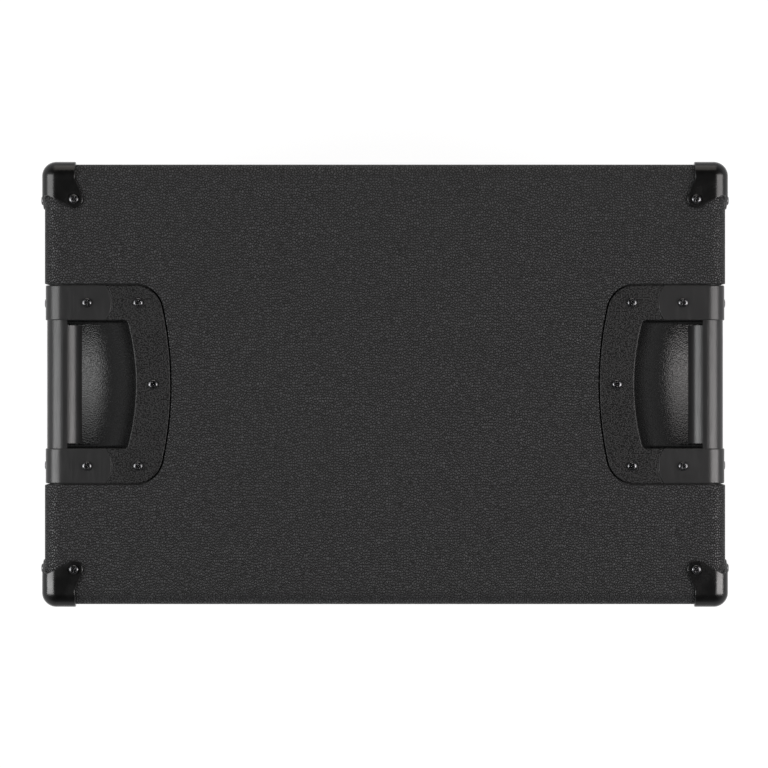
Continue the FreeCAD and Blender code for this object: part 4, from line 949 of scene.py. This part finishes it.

# %% [markdown]
# ## Floor
#
# The photograph has a white ground without a visible shadow. The floor is paper whose colour is a painted
# pool of light: white round the cabinet and pale grey further out, where the studio's light falls off. The
# white patch is a rounded square, because how far out a point lies is taken as the fourth root of x^4 + y^4.
# The camera and mirrored rays see the paper almost at its own colour, with a fifth of its real shading left
# in, so that the cabinet's soft shadow stays. All other rays see plain lit paper, which lights the sides from
# below.

# %% White floor
FLOOR_HALF = 60.0
WHITE_ENDS, GREY_STARTS = 0.42, 1.00
PAINTED_POOL_WHITE, PAINTED_FALLOFF_GREY = (0.95, 0.95, 0.95), (0.48, 0.48, 0.485)
PAPER_GLOW = 1.20
SHADING_SHARE = 0.2
floor_mesh = bpy.data.meshes.new("floor")
floor_corners = np.array([(-1, -1, 0), (1, -1, 0), (1, 1, 0), (-1, 1, 0)]) * FLOOR_HALF
floor_mesh.from_pydata(floor_corners, [], [(0, 1, 2, 3)])
floor = bpy.data.objects.new("floor", floor_mesh)
bpy.context.scene.collection.objects.link(floor)
paper = bpy.data.materials.new("white_paper")
paper.use_nodes = True
tree = paper.node_tree
tree.nodes.clear()
place = node(tree, "ShaderNodeTexCoord").outputs["Object"]
squares = node(tree, "ShaderNodeVectorMath", {0: place, 1: place}, operation="MULTIPLY").outputs[0]
spread = node(tree, "ShaderNodeVectorMath", {0: squares}, operation="LENGTH").outputs["Value"]
from_middle = calc(tree, "SQRT", spread)
# Painted light: the paper's colour is a painted pool of light, white near the middle and grey where the light
# falls off.
tone = tint(tree, span(tree, from_middle, WHITE_ENDS, GREY_STARTS), PAINTED_POOL_WHITE, PAINTED_FALLOFF_GREY)
ray = node(tree, "ShaderNodeLightPath").outputs
mirrored = calc(tree, "MAXIMUM", ray["Is Glossy Ray"], ray["Is Transmission Ray"])
seen = calc(tree, "MAXIMUM", ray["Is Camera Ray"], mirrored)
lit = node(tree, "ShaderNodeBsdfDiffuse", {"Color": tone}).outputs[0]
white = node(tree, "ShaderNodeEmission", {"Color": tone, "Strength": PAPER_GLOW}).outputs[0]
shaded = node(tree, "ShaderNodeMixShader", {0: SHADING_SHARE, 1: white, 2: lit}).outputs[0]
shown = node(tree, "ShaderNodeMixShader", {0: seen, 1: lit, 2: shaded}).outputs[0]
node(tree, "ShaderNodeOutputMaterial", {"Surface": shown})
floor_mesh.materials.append(paper)
print("floor:", 2 * FLOOR_HALF, "m wide")

# %% [markdown]
# ## Light
#
# The bands on the corners and straps tell where the photograph's lights stood: a tall softbox on the left
# and one on the right, from about 15 to 67 degrees above the top's level and brighter towards the front, a
# weak brownish reflection from behind, and nothing overhead. A broad lamp and a narrow brighter one on each
# side repeat that, with a weak one behind. A dim sky fills the rest: as pale as the far floor at the
# horizon, so that no line shows where they meet, and nearly black overhead.

# %% Softboxes
def softbox(name, target, bearing, rise, distance, width, height, radiance, colour):
    """An area lamp seen from target at a bearing and a rise in degrees, facing it. Its brightness to the eye
    is its radiance: power = radiance * pi * area."""
    turn, lift = np.radians(bearing), np.radians(rise)
    towards = np.array([np.cos(lift) * np.cos(turn), np.cos(lift) * np.sin(turn), np.sin(lift)])
    lamp = bpy.data.lights.new(name, "AREA")
    lamp.shape = "RECTANGLE"
    lamp.size = width
    lamp.size_y = height
    lamp.energy = radiance * np.pi * width * height
    lamp.color = colour
    holder = bpy.data.objects.new(name, lamp)
    holder.location = np.array(target) + towards * distance
    holder.rotation_euler = Vector(-towards).to_track_quat("-Z", "Y").to_euler()
    bpy.context.scene.collection.objects.link(holder)
    print(name, round(lamp.energy, 1), "W")


NEUTRAL, ROSY, BROWN = (1.0, 1.0, 1.0), (1.0, 0.965, 0.96), (1.0, 0.94, 0.86)
softbox("left_softbox", (-0.29, 0.15, 0.51), 180, 41, 2.0, 0.9, 1.9, 3.7, NEUTRAL)
softbox("left_hot_part", (-0.29, -0.33, 0.51), 180, 41, 1.95, 0.42, 2.0, 6.2, NEUTRAL)
softbox("right_softbox", (0.29, 0.15, 0.51), 0, 42, 2.0, 0.9, 1.9, 3.8, ROSY)
softbox("right_hot_part", (0.29, -0.33, 0.51), 0, 42, 1.95, 0.42, 2.0, 7.0, ROSY)
softbox("rear_reflector", (0.0, 0.19, 0.51), 90, 18, 1.8, 1.6, 1.4, 0.9, BROWN)

# %% Sky
HORIZON_ENDS, DIM_STARTS = 0.10, 0.24
DIM_RANGE = (0.05, 0.85)
HORIZON_PALE, DIM_LOW, DIM_OVERHEAD = (0.465, 0.465, 0.470), (0.16, 0.16, 0.165), (0.02, 0.02, 0.02)
world = bpy.data.worlds.new("dim_studio")
bpy.context.scene.world = world
world.use_nodes = True
tree = world.node_tree
tree.nodes.clear()
towards = node(tree, "ShaderNodeTexCoord").outputs["Generated"]
height = node(tree, "ShaderNodeSeparateXYZ", {0: towards}).outputs[2]
dim = tint(tree, span(tree, height, *DIM_RANGE), DIM_LOW, DIM_OVERHEAD)
sky = tint(tree, span(tree, height, HORIZON_ENDS, DIM_STARTS), HORIZON_PALE, dim)
node(tree, "ShaderNodeOutputWorld", {0: node(tree, "ShaderNodeBackground", {0: sky, 1: 1.0}).outputs[0]})
bpy.context.scene.view_settings.view_transform = "Standard"
print("sky:", world.name)
